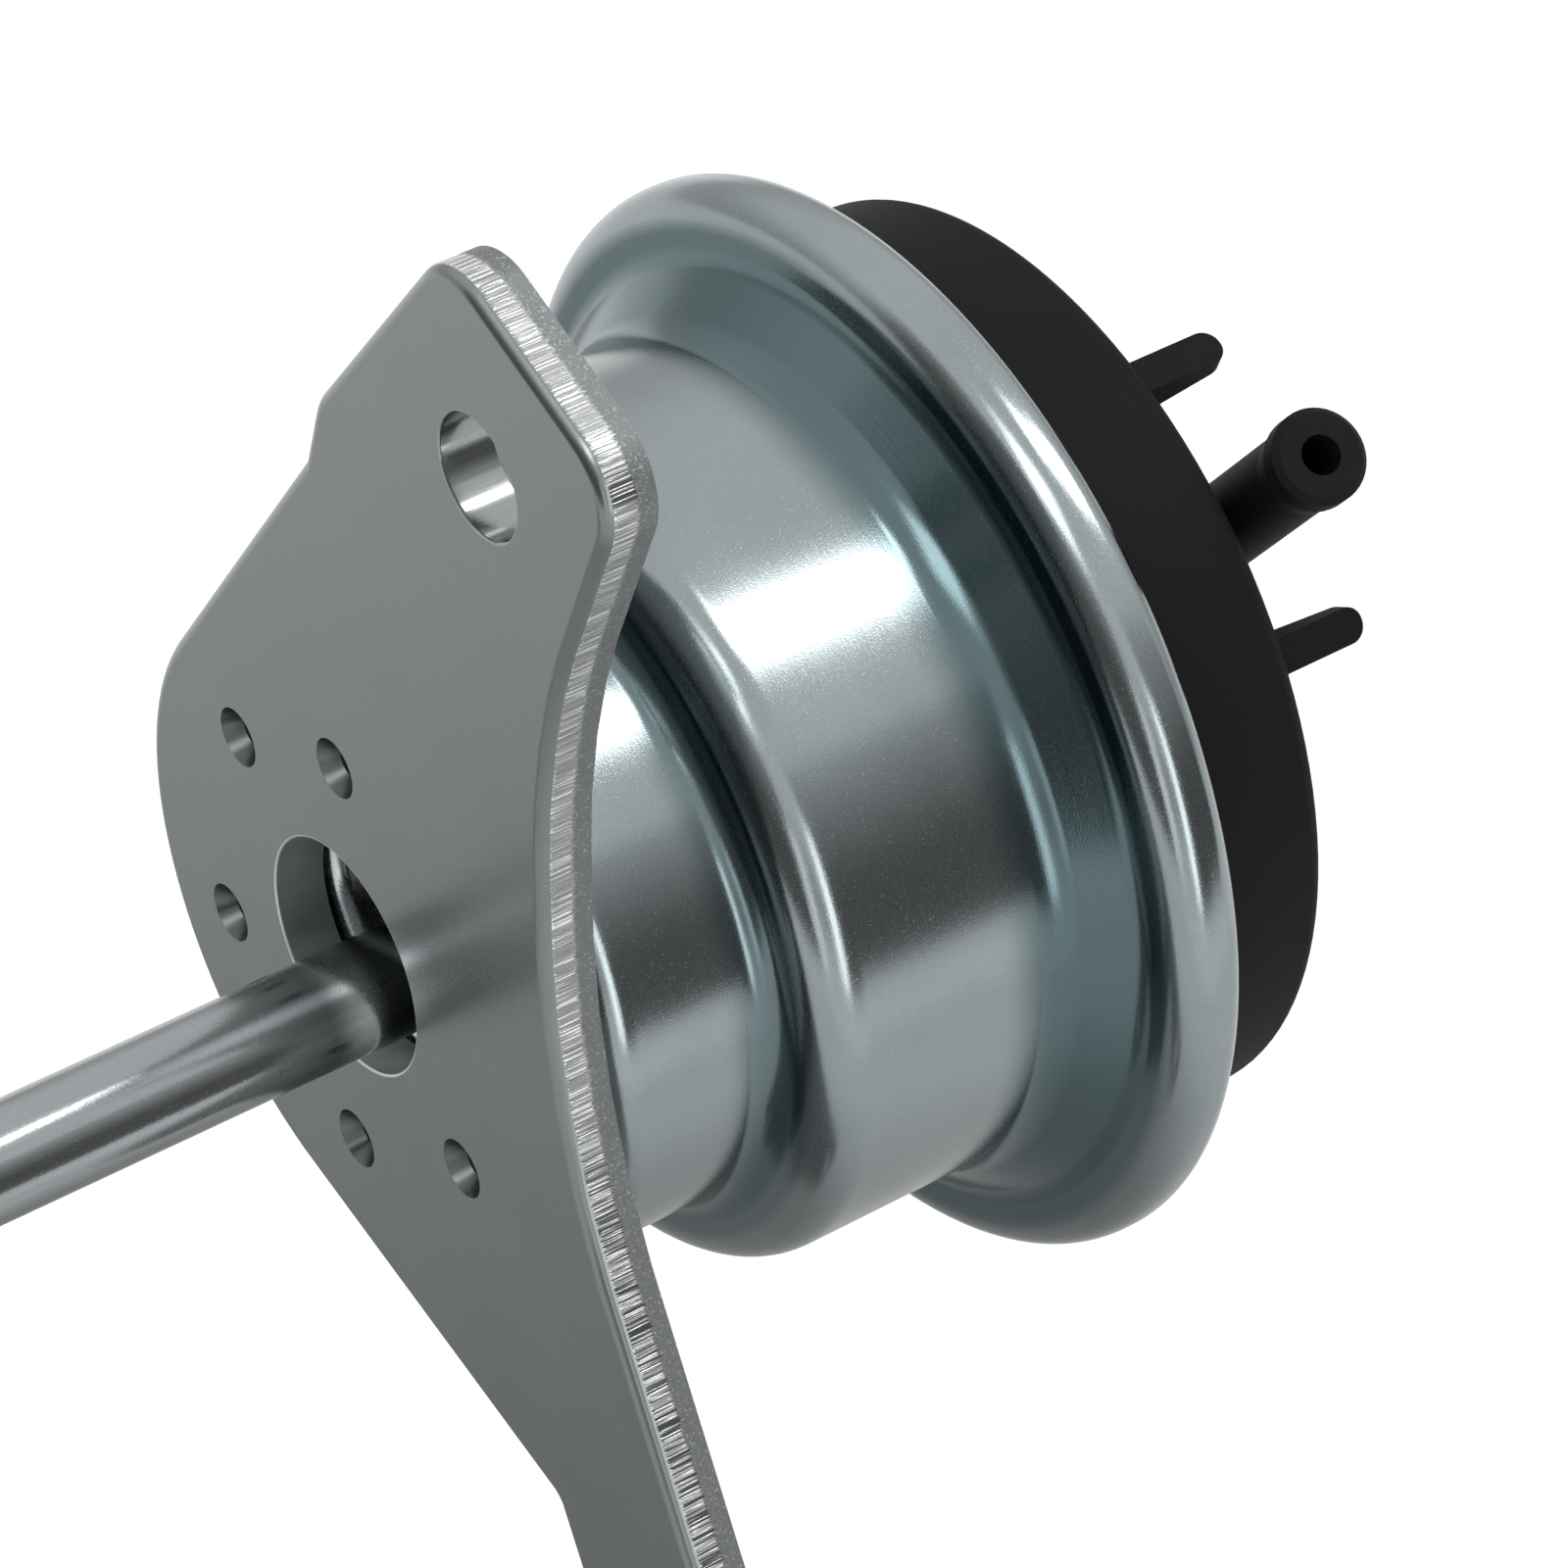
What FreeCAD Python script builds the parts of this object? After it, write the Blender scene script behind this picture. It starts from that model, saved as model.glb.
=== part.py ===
import FreeCAD, Part
import Sketcher

import math
import os
import re

# Wastegate actuator, pressure type.
# X runs along the can, from the rod to the hose cap. The origin is the centre of the bracket's
# round hole on the bracket's front face. Z is up. Sizes are millimetres and degrees.

SIZES = {
    # Bracket, a stamped plate
    "plate_thickness": 3.0,
    "plate_edge_roll": 0.45,
    "plate_hole": 13.5,
    "plate_body_radius": 19.2,
    "body_upper_angle": 34.4,
    "body_lower_angle": 76.4,
    "bolt_reach": 43.15,
    "bolt_hole": 6.6,
    "ear_angle": 109.8,
    "ear_tip_side": 2.73,
    "ear_tip_rise": 11.71,
    "ear_far_side": 11.95,
    "ear_far_rise": 5.84,
    "ear_near_side": 14.76,
    "ear_near_drop": 4.35,
    "ear_foot_side": 16.14,
    "ear_foot_drop": 8.93,
    "ear_rounding": 4.0,
    "notch_rounding": 1.0,
    "side_flat": 0.08,
    "side_top": 27.13,
    "side_sweep_ratio": 2.0833,
    "arm_angle": 226.3,
    "arm_tilt": 28.0,
    "arm_width": 13.5,
    "arm_near_length": 10.8,
    "arm_end_margin": 7.5,
    "arm_rounding": 6.2,
    # Weld projections that join the plate to the can
    "weld_width": 3.4,
    "weld_depth": 1.1,
    "weld_taper": 20.0,
    "weld_height": 0.3,
    "weld_first_angle": 41.0,
    "weld_second_angle": 90.0,
    "weld_third_angle": 213.5,
    "weld_fourth_angle": 269.0,
    "weld_fifth_angle": 336.0,
    # Can, deep drawn from one sheet
    "can_sheet": 1.0,
    "nose_length": 10.6,
    "nose_corner": 2.4,
    "recess_radius": 6.9,
    "recess_depth": 5.4,
    "recess_lip": 1.5,
    "recess_corner": 0.3,
    "can_radius": 24.3,
    "nose_step": 4.65,
    "can_length": 14.7,
    "step_root": 1.8,
    "shoulder_flat": 0.05,
    "slope_rise": 3.15,
    "slope_root": 3.0,
    "valley_root": 1.6,
    "rim_width": 3.75,
    "rim_corner": 2.2,
    "crimp_corner": 1.3,
    "crimp_reach": 3.0,
    # Hose cap, moulded
    "cap_flange": 1.3,
    "cap_flange_gap": 0.35,
    "cap_step": 4.8,
    "cap_wall": 2.2,
    "cap_length": 11.3,
    "cap_edge": 0.9,
    "hub_radius": 7.2,
    "hub_height": 11.4,
    "hub_draft": 0.6,
    "hub_edge": 1.4,
    "nipple_angle": 129.5,
    "nipple_lean": 6.0,
    "nipple_stand": 3.4,
    "nipple_radius": 2.35,
    "nipple_bore": 1.1,
    "barb_radius": 2.65,
    "barb_length": 3.2,
    "barb_land": 1.2,
    "barb_edge": 0.35,
    "nipple_rise": 4.35,
    "hub_bore": 1.6,
    "lug_spread": 19.0,
    "lug_inset": 1.1,
    "lug_width": 2.0,
    "lug_height": 5.6,
    "lug_root": 2.6,
    "lug_tip": 0.9,
    "lug_tip_edge": 0.95,
    "rib_count": 6,
    "rib_width": 1.6,
    "rib_height": 1.8,
    "rib_margin": 5.7,
    "stop_rib_inner": 9.5,
    "stop_rib_side": 0.4,
    "stop_rib_gap": 0.3,
    # Rubber diaphragm and the piston that it drives
    "rubber": 0.6,
    "roll_gap": 0.5,
    "roll_length": 4.8,
    "roll_clearance": 0.1,
    "fold_flat": 0.02,
    "piston_room": 3.1,
    "piston_sheet": 1.2,
    "piston_skirt": 5.1,
    "piston_corner": 2.2,
    "travel": 10.0,
    "stop_gap": 0.4,
    "backing_margin": 2.6,
    "backing_sheet": 1.0,
    "backing_bend": 0.4,
    "backing_lip": 1.6,
    # Rod
    "rod_radius": 3.0,
    "rod_offset": 2.2,
    "rod_offset_angle": 225.0,
    "bend_length": 5.8,
    "bend_gap": 0.1,
    "rod_reach": 63.0,
    "tenon_radius": 2.2,
    "tenon_gap": 0.06,
    "head_radius": 3.7,
    "head_height": 1.5,
    "head_dome": 0.9,
    "tenon_seal_radius": 0.46,
    "tenon_seal_room": 1.7,
    "shoulder_washer_radius": 7.0,
    "shoulder_washer": 1.5,
    "rivet_washer_radius": 5.2,
    "rivet_washer": 1.0,
    "washer_edge": 0.2,
    # Rod end and its nuts
    "thread_gap": 0.06,
    "rod_end_bevel": 0.8,
    "nut_flats": 10.0,
    "nut_height": 5.0,
    "nut_bevel": 30.0,
    "nut_bevel_start": 0.1,
    "eye_radius": 7.5,
    "eye_thickness": 8.0,
    "eye_distance": 22.0,
    "eye_edge": 0.8,
    "shank_radius": 5.0,
    "shank_engage": 12.5,
    "liner_radius": 4.6,
    "pin_hole": 6.2,
    "liner_stand": 0.4,
    # Rod guide inside the nose
    "running_gap": 0.05,
    "bush_radius": 4.5,
    "bush_flange_radius": 5.6,
    "bush_flange": 1.4,
    "bush_front": 0.5,
    "bush_edge": 0.4,
    "bush_length": 6.0,
    "fit_gap": 0.1,
    "seal_length": 1.8,
    "seal_radius": 5.55,
    "holder_sheet": 0.8,
    "holder_window": 3.6,
    # Return spring and its seat
    "wire_radius": 1.3,
    "coil_room": 1.95,
    "closed_turns": 1.0,
    "active_turns": 3.0,
    "coil_gap": 0.04,
    "seat_sheet": 1.0,
    "seat_bore_gap": 0.7,
    "seat_margin": 2.05,
    "seat_play": 0.2,
    "seat_rise": 3.2,
    "seat_edge": 0.5,
}

# Places along X that several pieces share, as sums of the sizes above
NOSE_FACE = "(plate_thickness + weld_height)"
NOSE_INSIDE = f"({NOSE_FACE} + can_sheet)"
RECESS_FLOOR = f"({NOSE_FACE} + recess_depth)"
RECESS_BACK = f"({RECESS_FLOOR} + can_sheet)"
SHOULDER = f"({NOSE_FACE} + nose_length)"
SLOPE_START = f"({SHOULDER} + can_length)"
RIM_FRONT = f"({SLOPE_START} + slope_rise)"
RIM_INSIDE = f"({RIM_FRONT} + can_sheet)"
CAP_SEAT = f"({RIM_INSIDE} + rubber)"
CRIMP_INSIDE = f"({CAP_SEAT} + cap_flange)"
CRIMP_BACK = f"({CRIMP_INSIDE} + can_sheet)"
CAP_BACK = f"({CAP_SEAT} + cap_length)"
HUB_BACK = f"({CAP_BACK} + hub_height)"
PISTON_END = f"({SHOULDER} + can_sheet + travel + stop_gap)"
PISTON_CROWN = f"({PISTON_END} + piston_skirt)"
PISTON_FLOOR = f"({PISTON_CROWN} - piston_sheet)"
DIAPHRAGM_BACK = f"({PISTON_CROWN} + rubber)"
BACKING_BACK = f"({DIAPHRAGM_BACK} + backing_sheet)"
HEAD_SEAT = f"({BACKING_BACK} + rivet_washer)"
ROD_SHOULDER = f"({PISTON_FLOOR} - shoulder_washer)"
BUSH_FRONT = f"({RECESS_FLOOR} - bush_front)"
BEND_END = f"({BUSH_FRONT} - bend_gap)"
BEND_START = f"({BEND_END} - bend_length)"
FLANGE_BACK = f"({RECESS_BACK} + bush_flange)"
BUSH_BACK = f"({BUSH_FRONT} + bush_length)"
SEAL_BACK = f"({BUSH_BACK} + seal_length)"
HOLDER_INSIDE = f"({SEAL_BACK} + fit_gap)"
SEAT_TOP = f"({NOSE_INSIDE} + seat_sheet)"
ROD_END = "(-rod_reach)"
SHANK_FACE = f"({ROD_END} + shank_engage)"
EYE = f"({SHANK_FACE} - eye_distance)"
ROD_Y = "(rod_offset * cos(rod_offset_angle))"
ROD_Z = "(rod_offset * sin(rod_offset_angle))"
EAR_Y = "(bolt_reach * cos(ear_angle))"
EAR_Z = "(bolt_reach * sin(ear_angle))"
ARM_Y = "(bolt_reach * cos(arm_angle))"
ARM_Z = "(bolt_reach * sin(arm_angle))"

# Radii and roundings that follow the can's drawn wall
NOSE_RADIUS = "(can_radius - nose_step)"
SHOULDER_CORNER = "(nose_step - step_root - shoulder_flat)"
FLANGE_RADIUS = "(can_radius + slope_rise)"
RIM_RADIUS = f"({FLANGE_RADIUS} + rim_width)"
WELD_CIRCLE = f"((recess_radius + recess_lip + {NOSE_RADIUS} - nose_corner) / 2)"
CAP_RADIUS = f"({RIM_RADIUS} - cap_step)"
NIPPLE_REACH = f"({CAP_RADIUS} + nipple_stand)"
LUG_PLACE = f"({CAP_RADIUS} - lug_inset)"
PISTON_RADIUS = "(can_radius - can_sheet - piston_room)"
BACKING_RADIUS = f"({PISTON_RADIUS} - backing_margin)"
STOP_RIB_OUTER = f"({BACKING_RADIUS} - backing_sheet - stop_rib_side)"
COIL_RADIUS = f"({NOSE_RADIUS} - can_sheet - wire_radius - coil_room)"
SEAT_INNER = "(recess_radius + can_sheet + seat_bore_gap)"
SEAT_OUTER = f"({NOSE_RADIUS} - can_sheet - seat_margin)"
SEAT_COLLAR = f"({COIL_RADIUS} - wire_radius - seat_play)"

# The plate's far side runs just inside its round body, and the arm's far edge ends on it
SIDE_Y = "(side_flat - plate_body_radius)"
ARM_FAR_LENGTH = f"((arm_width / 2 * cos(arm_tilt) + {SIDE_Y} - {ARM_Y}) / sin(arm_tilt))"

# The joint in the slope has the same sheet thickness on both sides of a 45 degree bend
HALF_TURN = "tan(22.5)"

doc = FreeCAD.newDocument("wastegate_actuator")
sheet = doc.addObject("Spreadsheet::Sheet", "sizes")
for row, (alias, number) in enumerate(SIZES.items(), 1):
    sheet.set(f"A{row}", alias)
    sheet.set(f"B{row}", str(number))
    sheet.setAlias(f"B{row}", alias)
doc.recompute()


def tied(text):
    """A sum of size names as an expression on the sheet's cells."""
    return re.sub(r"[a-z_]+", lambda word: f"sizes.{word[0]}" if word[0] in SIZES else word[0], text)


def value(text):
    """The number that a sum of size names comes to."""
    return float(sheet.evalExpression(tied(text)))


def new_body(label):
    body = doc.addObject("PartDesign::Body", label)
    body.Label = label
    return body


def new_sketch(body, name, role, lift=None):
    """A sketch on one of the body's own planes, lifted along that plane's normal."""
    sketch = body.newObject("Sketcher::SketchObject", name)
    plane = next(item for item in body.Origin.OriginFeatures if item.Role == role)
    sketch.AttachmentSupport = [(plane, "")]
    sketch.MapMode = "FlatFace"
    if lift:
        sketch.setExpression("AttachmentOffset.Base.z", tied(lift))
    return sketch


def tie_point(sketch, geometry, point, across, up):
    """Places one point of a sketch from the sketch's origin."""
    for kind, text in (("DistanceX", across), ("DistanceY", up)):
        number = sketch.addConstraint(Sketcher.Constraint(kind, -1, 1, geometry, point, value(text)))
        sketch.setExpression(f"Constraints[{number}]", tied(text))


def outline(body, name, role, corners, lift=None):
    """A closed outline of straight lines through corners given as sums of sizes."""
    sketch = new_sketch(body, name, role, lift)
    spots = [FreeCAD.Vector(value(across), value(up), 0) for across, up in corners]
    first = sketch.GeometryCount
    count = len(corners)
    for index, spot in enumerate(spots):
        sketch.addGeometry(Part.LineSegment(spot, spots[(index + 1) % count]))
    for index, (across, up) in enumerate(corners):
        before = first + (index - 1) % count
        sketch.addConstraint(Sketcher.Constraint("Coincident", before, 2, first + index, 1))
        tie_point(sketch, first + index, 1, across, up)
    return sketch


def ring(sketch, across, up, radius):
    """A circle in a sketch."""
    centre = FreeCAD.Vector(value(across), value(up), 0)
    index = sketch.addGeometry(Part.Circle(centre, FreeCAD.Vector(0, 0, 1), value(radius)))
    tie_point(sketch, index, 3, across, up)
    number = sketch.addConstraint(Sketcher.Constraint("Radius", index, value(radius)))
    sketch.setExpression(f"Constraints[{number}]", tied(radius))


def revolved(body, name, corners, cut=False):
    """A section in the XY plane turned about the X axis."""
    sketch = outline(body, name + "_section", "XY_Plane", corners)
    kind = "PartDesign::Groove" if cut else "PartDesign::Revolution"
    feature = body.newObject(kind, name)
    feature.Profile = sketch
    feature.ReferenceAxis = (sketch, ["H_Axis"])
    feature.Angle = 360
    doc.recompute()
    return feature


def padded(body, name, sketch, length, kind="PartDesign::Pad", backwards=False, midplane=False):
    feature = body.newObject(kind, name)
    feature.Profile = sketch
    feature.setExpression("Length", tied(length))
    feature.Reversed = backwards
    feature.Midplane = midplane
    doc.recompute()
    return feature


def pocketed(body, name, sketch, length, backwards=False, midplane=False):
    """A pad's opposite. It has to take material away, or its direction is wrong."""
    before = body.Shape.Volume
    feature = padded(body, name, sketch, length, "PartDesign::Pocket", backwards, midplane)
    if body.Shape.Volume > before - 1e-6:
        raise RuntimeError(f"{name} cuts nothing")
    return feature


def ring_edges(body, places):
    """Names of the circular edges about X at each (x, radius)."""
    wanted = [(value(along), value(radius)) for along, radius in places]
    names = []
    for number, edge in enumerate(body.Shape.Edges, 1):
        if not isinstance(edge.Curve, Part.Circle):
            continue
        centre = edge.Curve.Center
        if abs(edge.Curve.Axis.x) < 0.999 or math.hypot(centre.y, centre.z) > 1e-4:
            continue
        if any(math.hypot(centre.x - x, edge.Curve.Radius - r) < 1e-3 for x, r in wanted):
            names.append(f"Edge{number}")
    if len(names) < len(wanted):
        raise RuntimeError(f"{body.Label}: {len(wanted)} rings wanted, {len(names)} found")
    return names


def upright_edges(body, places):
    """Names of the straight edges along X through each (y, z)."""
    wanted = [(value(side), value(rise)) for side, rise in places]
    names = []
    for number, edge in enumerate(body.Shape.Edges, 1):
        if isinstance(edge.Curve, Part.Line) and abs(edge.Curve.Direction.x) > 0.999:
            spot = edge.Vertexes[0].Point
            if any(math.hypot(spot.y - y, spot.z - z) < 1e-3 for y, z in wanted):
                names.append(f"Edge{number}")
    if len(names) != len(wanted):
        raise RuntimeError(f"{body.Label}: {len(wanted)} corners wanted, {len(names)} found")
    return names


def face_edges(body, along, nearest):
    """Names of the edges in the plane at one x that reach further than some distance from the axis."""
    x = value(along)
    names = []
    for number, edge in enumerate(body.Shape.Edges, 1):
        box = edge.BoundBox
        if abs(box.XMin - x) < 1e-4 and abs(box.XMax - x) < 1e-4:
            reach = max(math.hypot(spot.y, spot.z) for spot in edge.discretize(5))
            if reach > value(nearest):
                names.append(f"Edge{number}")
    return names


def rounded(body, name, radius, edges):
    before = body.Tip
    feature = body.newObject("PartDesign::Fillet", name)
    feature.Base = (before, edges)
    feature.setExpression("Radius", tied(radius))
    doc.recompute()
    return feature


def bevelled(body, name, size, edges):
    before = body.Tip
    feature = body.newObject("PartDesign::Chamfer", name)
    feature.Base = (before, edges)
    feature.setExpression("Size", tied(size))
    doc.recompute()
    return feature


def bracket():
    """Stamped plate with an ear above, an arm below and five weld projections."""
    body = new_body("bracket")
    along = ("sin(arm_tilt)", "cos(arm_tilt)")
    half = "arm_width / 2"

    def arm_spot(back, side):
        """A point back from the arm's hole towards the can, and to one side of the arm's middle."""
        return (
            f"{ARM_Y} + ({back}) * {along[0]} + ({side}) * {along[1]}",
            f"{ARM_Z} + ({back}) * {along[1]} - ({side}) * {along[0]}",
        )

    tip = (f"{EAR_Y} + ear_tip_side", f"{EAR_Z} + ear_tip_rise")
    near = (f"{EAR_Y} + ear_near_side", f"{EAR_Z} - ear_near_drop")
    foot = (f"{EAR_Y} + ear_foot_side", f"{EAR_Z} - ear_foot_drop")
    upper = ("plate_body_radius * cos(body_upper_angle)", "plate_body_radius * sin(body_upper_angle)")
    lower = ("plate_body_radius * cos(body_lower_angle)", "-plate_body_radius * sin(body_lower_angle)")
    arm_near = arm_spot("arm_near_length", half)
    arm_tip_near = arm_spot("-arm_end_margin", half)
    arm_tip_far = arm_spot("-arm_end_margin", f"-{half}")
    arm_far = arm_spot(ARM_FAR_LENGTH, f"-{half}")
    side = (SIDE_Y, "side_top")
    far = (f"{EAR_Y} - ear_far_side", f"{EAR_Z} + ear_far_rise")

    corners = [tip, near, foot, upper, lower, arm_near, arm_tip_near, arm_tip_far, arm_far, side, far]
    plate = outline(body, "plate_outline", "YZ_Plane", corners)
    padded(body, "plate", plate, "plate_thickness")
    rounded(body, "ear_corners", "ear_rounding", upright_edges(body, [tip, far, near]))
    rounded(body, "arm_end", "arm_rounding", upright_edges(body, [arm_tip_near, arm_tip_far]))
    rounded(body, "notches", "notch_rounding", upright_edges(body, [foot, arm_near]))
    rounded(body, "side", "plate_body_radius * side_sweep_ratio", upright_edges(body, [arm_far, side]))
    disc = new_sketch(body, "disc_outline", "YZ_Plane")
    ring(disc, "0", "0", "plate_body_radius")
    padded(body, "disc", disc, "plate_thickness")

    holes = new_sketch(body, "hole_outlines", "YZ_Plane")
    ring(holes, "0", "0", "plate_hole / 2")
    ring(holes, EAR_Y, EAR_Z, "bolt_hole / 2")
    ring(holes, ARM_Y, ARM_Z, "bolt_hole / 2")
    rounded(body, "die_roll", "plate_edge_roll", face_edges(body, "0", "plate_hole"))
    pocketed(body, "holes", holes, "plate_thickness", backwards=True)

    angles = [f"weld_{order}_angle" for order in ("first", "second", "third", "fourth", "fifth")]
    spots = [(f"{WELD_CIRCLE} * cos({angle})", f"{WELD_CIRCLE} * sin({angle})") for angle in angles]
    punch = new_sketch(body, "punch_outlines", "YZ_Plane")
    bumps = new_sketch(body, "bump_outlines", "YZ_Plane", "plate_thickness")
    for across, up in spots:
        ring(punch, across, up, "weld_width / 2")
        ring(bumps, across, up, "weld_width / 2")
    dents = pocketed(body, "punch_marks", punch, "weld_depth", backwards=True)
    dents.setExpression("TaperAngle", tied("-weld_taper"))
    padded(body, "weld_bumps", bumps, "weld_height")
    return body


def can():
    """Deep drawn can: recessed nose, shoulder, flange and the rim rolled over the cap's flange."""
    body = new_body("can")
    inner = "(can_radius - can_sheet)"
    # Each bend: the corner outside the sheet, the corner inside it, and its radius on each side
    bends = {
        "recess": (RECESS_FLOOR, "recess_radius", RECESS_BACK, "recess_radius + can_sheet",
                   "recess_corner", "recess_corner + can_sheet"),
        "lip": (NOSE_FACE, "recess_radius", NOSE_INSIDE, "recess_radius + can_sheet",
                "recess_lip", "recess_lip - can_sheet"),
        "nose": (NOSE_FACE, NOSE_RADIUS, NOSE_INSIDE, f"{NOSE_RADIUS} - can_sheet",
                 "nose_corner", "nose_corner - can_sheet"),
        "root": (SHOULDER, NOSE_RADIUS, f"{SHOULDER} + can_sheet", f"{NOSE_RADIUS} - can_sheet",
                 "step_root", "step_root + can_sheet"),
        "shoulder": (SHOULDER, "can_radius", f"{SHOULDER} + can_sheet", inner,
                     SHOULDER_CORNER, f"{SHOULDER_CORNER} - can_sheet"),
        "slope": (SLOPE_START, "can_radius", f"{SLOPE_START} + can_sheet * {HALF_TURN}", inner,
                  "slope_root", "slope_root + can_sheet"),
        "valley": (RIM_FRONT, FLANGE_RADIUS, RIM_INSIDE, f"{FLANGE_RADIUS} - can_sheet * {HALF_TURN}",
                   "valley_root", "valley_root + can_sheet"),
        "rim": (RIM_FRONT, RIM_RADIUS, RIM_INSIDE, f"{RIM_RADIUS} - can_sheet",
                "rim_corner", "rim_corner - can_sheet"),
        "crimp": (CRIMP_BACK, RIM_RADIUS, CRIMP_INSIDE, f"{RIM_RADIUS} - can_sheet",
                  "crimp_corner", "crimp_corner - can_sheet"),
    }
    bore = "bush_radius + fit_gap"
    lip_end = f"{RIM_RADIUS} - crimp_reach"
    outside = [bend[0:2] for bend in bends.values()]
    inside = [bend[2:4] for bend in bends.values()]
    corners = [(RECESS_FLOOR, bore), *outside, (CRIMP_BACK, lip_end)]
    corners += [(CRIMP_INSIDE, lip_end), *reversed(inside), (RECESS_BACK, bore)]
    revolved(body, "shell", corners)
    for name, bend in bends.items():
        rounded(body, name + "_outside", bend[4], ring_edges(body, [bend[0:2]]))
        rounded(body, name + "_inside", bend[5], ring_edges(body, [bend[2:4]]))
    return body


def turn_plane(sketch, angle, along="0", lean="0"):
    """Turns a sketch's plane about X, so that its up direction points out at that angle."""
    turn = f"rotation(vector(1; 0; 0); {tied(angle)}) * rotation(vector(0; 0; 1); {tied(lean)})"
    sketch.setExpression("AttachmentOffset", f"placement(vector({tied(along)}; 0; 0); {turn})")


def patterned(body, name, feature, count):
    """Repeats a feature about X."""
    pattern = body.newObject("PartDesign::PolarPattern", name)
    pattern.Originals = [feature]
    axis = next(item for item in body.Origin.OriginFeatures if item.Role == "X_Axis")
    pattern.Axis = (axis, [""])
    pattern.Angle = 360
    pattern.setExpression("Occurrences", tied(count))
    body.Tip = pattern
    doc.recompute()
    return pattern


def cap():
    """Moulded hose cap: flanged cup, hub, radial hose nipple, two lugs, outer ribs and stop ribs."""
    body = new_body("cap")
    flange = f"{RIM_RADIUS} - can_sheet - cap_flange_gap"
    inside = f"{CAP_RADIUS} - cap_wall"
    corners = [
        (CAP_SEAT, inside),
        (CAP_SEAT, flange),
        (CRIMP_INSIDE, flange),
        (CRIMP_INSIDE, CAP_RADIUS),
        (CAP_BACK, CAP_RADIUS),
        (CAP_BACK, "hub_radius"),
        (HUB_BACK, "hub_radius - hub_draft"),
        (HUB_BACK, "0"),
        (f"{CAP_BACK} - cap_wall", "0"),
        (f"{CAP_BACK} - cap_wall", inside),
    ]
    revolved(body, "cup", corners)
    rounded(body, "cup_edge", "cap_edge", ring_edges(body, [corners[4]]))
    rounded(body, "hub_top", "hub_edge", ring_edges(body, [corners[6]]))

    rib_end = f"{CAP_RADIUS} - rib_margin"
    rib = outline(body, "rib_section", "XY_Plane", [
        (f"{CAP_BACK} - cap_wall / 2", "hub_radius / 2"),
        (f"{CAP_BACK} + rib_height", "hub_radius / 2"),
        (f"{CAP_BACK} + rib_height", f"{rib_end} - rib_height"),
        (f"{CAP_BACK} - cap_wall / 2", f"{rib_end} + cap_wall / 2"),
    ])
    turn_plane(rib, "nipple_angle + 180 / rib_count")
    first_rib = padded(body, "rib", rib, "rib_width", midplane=True)
    patterned(body, "ribs", first_rib, "rib_count")
    stop = outline(body, "stop_rib_section", "XY_Plane", [
        (f"{CAP_BACK} - cap_wall / 2", "stop_rib_inner"),
        (f"{BACKING_BACK} + stop_rib_gap", "stop_rib_inner"),
        (f"{BACKING_BACK} + stop_rib_gap", STOP_RIB_OUTER),
        (f"{CAP_BACK} - cap_wall / 2", STOP_RIB_OUTER),
    ])
    turn_plane(stop, "nipple_angle + 180 / rib_count")
    first_stop = padded(body, "stop_rib", stop, "rib_width", midplane=True)
    patterned(body, "stop_ribs", first_stop, "rib_count")

    for name, side in (("upper_lug", "-"), ("lower_lug", "+")):
        lug = outline(body, name + "_section", "XY_Plane", [
            (f"{CAP_BACK} - cap_wall / 2", LUG_PLACE),
            (f"{CAP_BACK} + lug_height", LUG_PLACE),
            (f"{CAP_BACK} + lug_height", f"{LUG_PLACE} - lug_tip"),
            (f"{CAP_BACK} - cap_wall / 2", f"{LUG_PLACE} - lug_root"),
        ])
        turn_plane(lug, f"nipple_angle {side} lug_spread")
        padded(body, name, lug, "lug_width", midplane=True)
        rounded(body, name + "_tip", "lug_tip_edge", lug_tip_edges(body))

    root = f"{CAP_BACK} + nipple_rise + {NIPPLE_REACH} * tan(nipple_lean)"
    length = f"({NIPPLE_REACH} / cos(nipple_lean))"
    nipple = outline(body, "nipple_section", "XY_Plane", [
        ("0", "0"),
        ("nipple_radius", "0"),
        ("nipple_radius", f"{length} - barb_length"),
        ("barb_radius", f"{length} - barb_edge - barb_land"),
        ("barb_radius", f"{length} - barb_edge"),
        ("barb_radius - barb_edge", length),
        ("0", length),
    ])
    turn_plane(nipple, "nipple_angle", root, "nipple_lean")
    tube = body.newObject("PartDesign::Revolution", "nipple")
    tube.Profile = nipple
    tube.ReferenceAxis = (nipple, ["V_Axis"])
    tube.Angle = 360
    doc.recompute()
    bore = outline(body, "nipple_bore_section", "XY_Plane", [
        ("0", "0"),
        ("nipple_bore", "0"),
        ("nipple_bore", f"{length} + nipple_bore"),
        ("0", f"{length} + nipple_bore"),
    ])
    turn_plane(bore, "nipple_angle", root, "nipple_lean")
    drill = body.newObject("PartDesign::Groove", "nipple_bore")
    drill.Profile = bore
    drill.ReferenceAxis = (bore, ["V_Axis"])
    drill.Angle = 360
    doc.recompute()
    feed = [
        (f"{CAP_BACK} - 2 * cap_wall", "0"),
        (f"{CAP_BACK} - 2 * cap_wall", "hub_bore"),
        (f"{root} + nipple_bore / 2", "hub_bore"),
        (f"{root} + nipple_bore / 2", "0"),
    ]
    revolved(body, "hub_bore", feed, cut=True)
    return body


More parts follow.
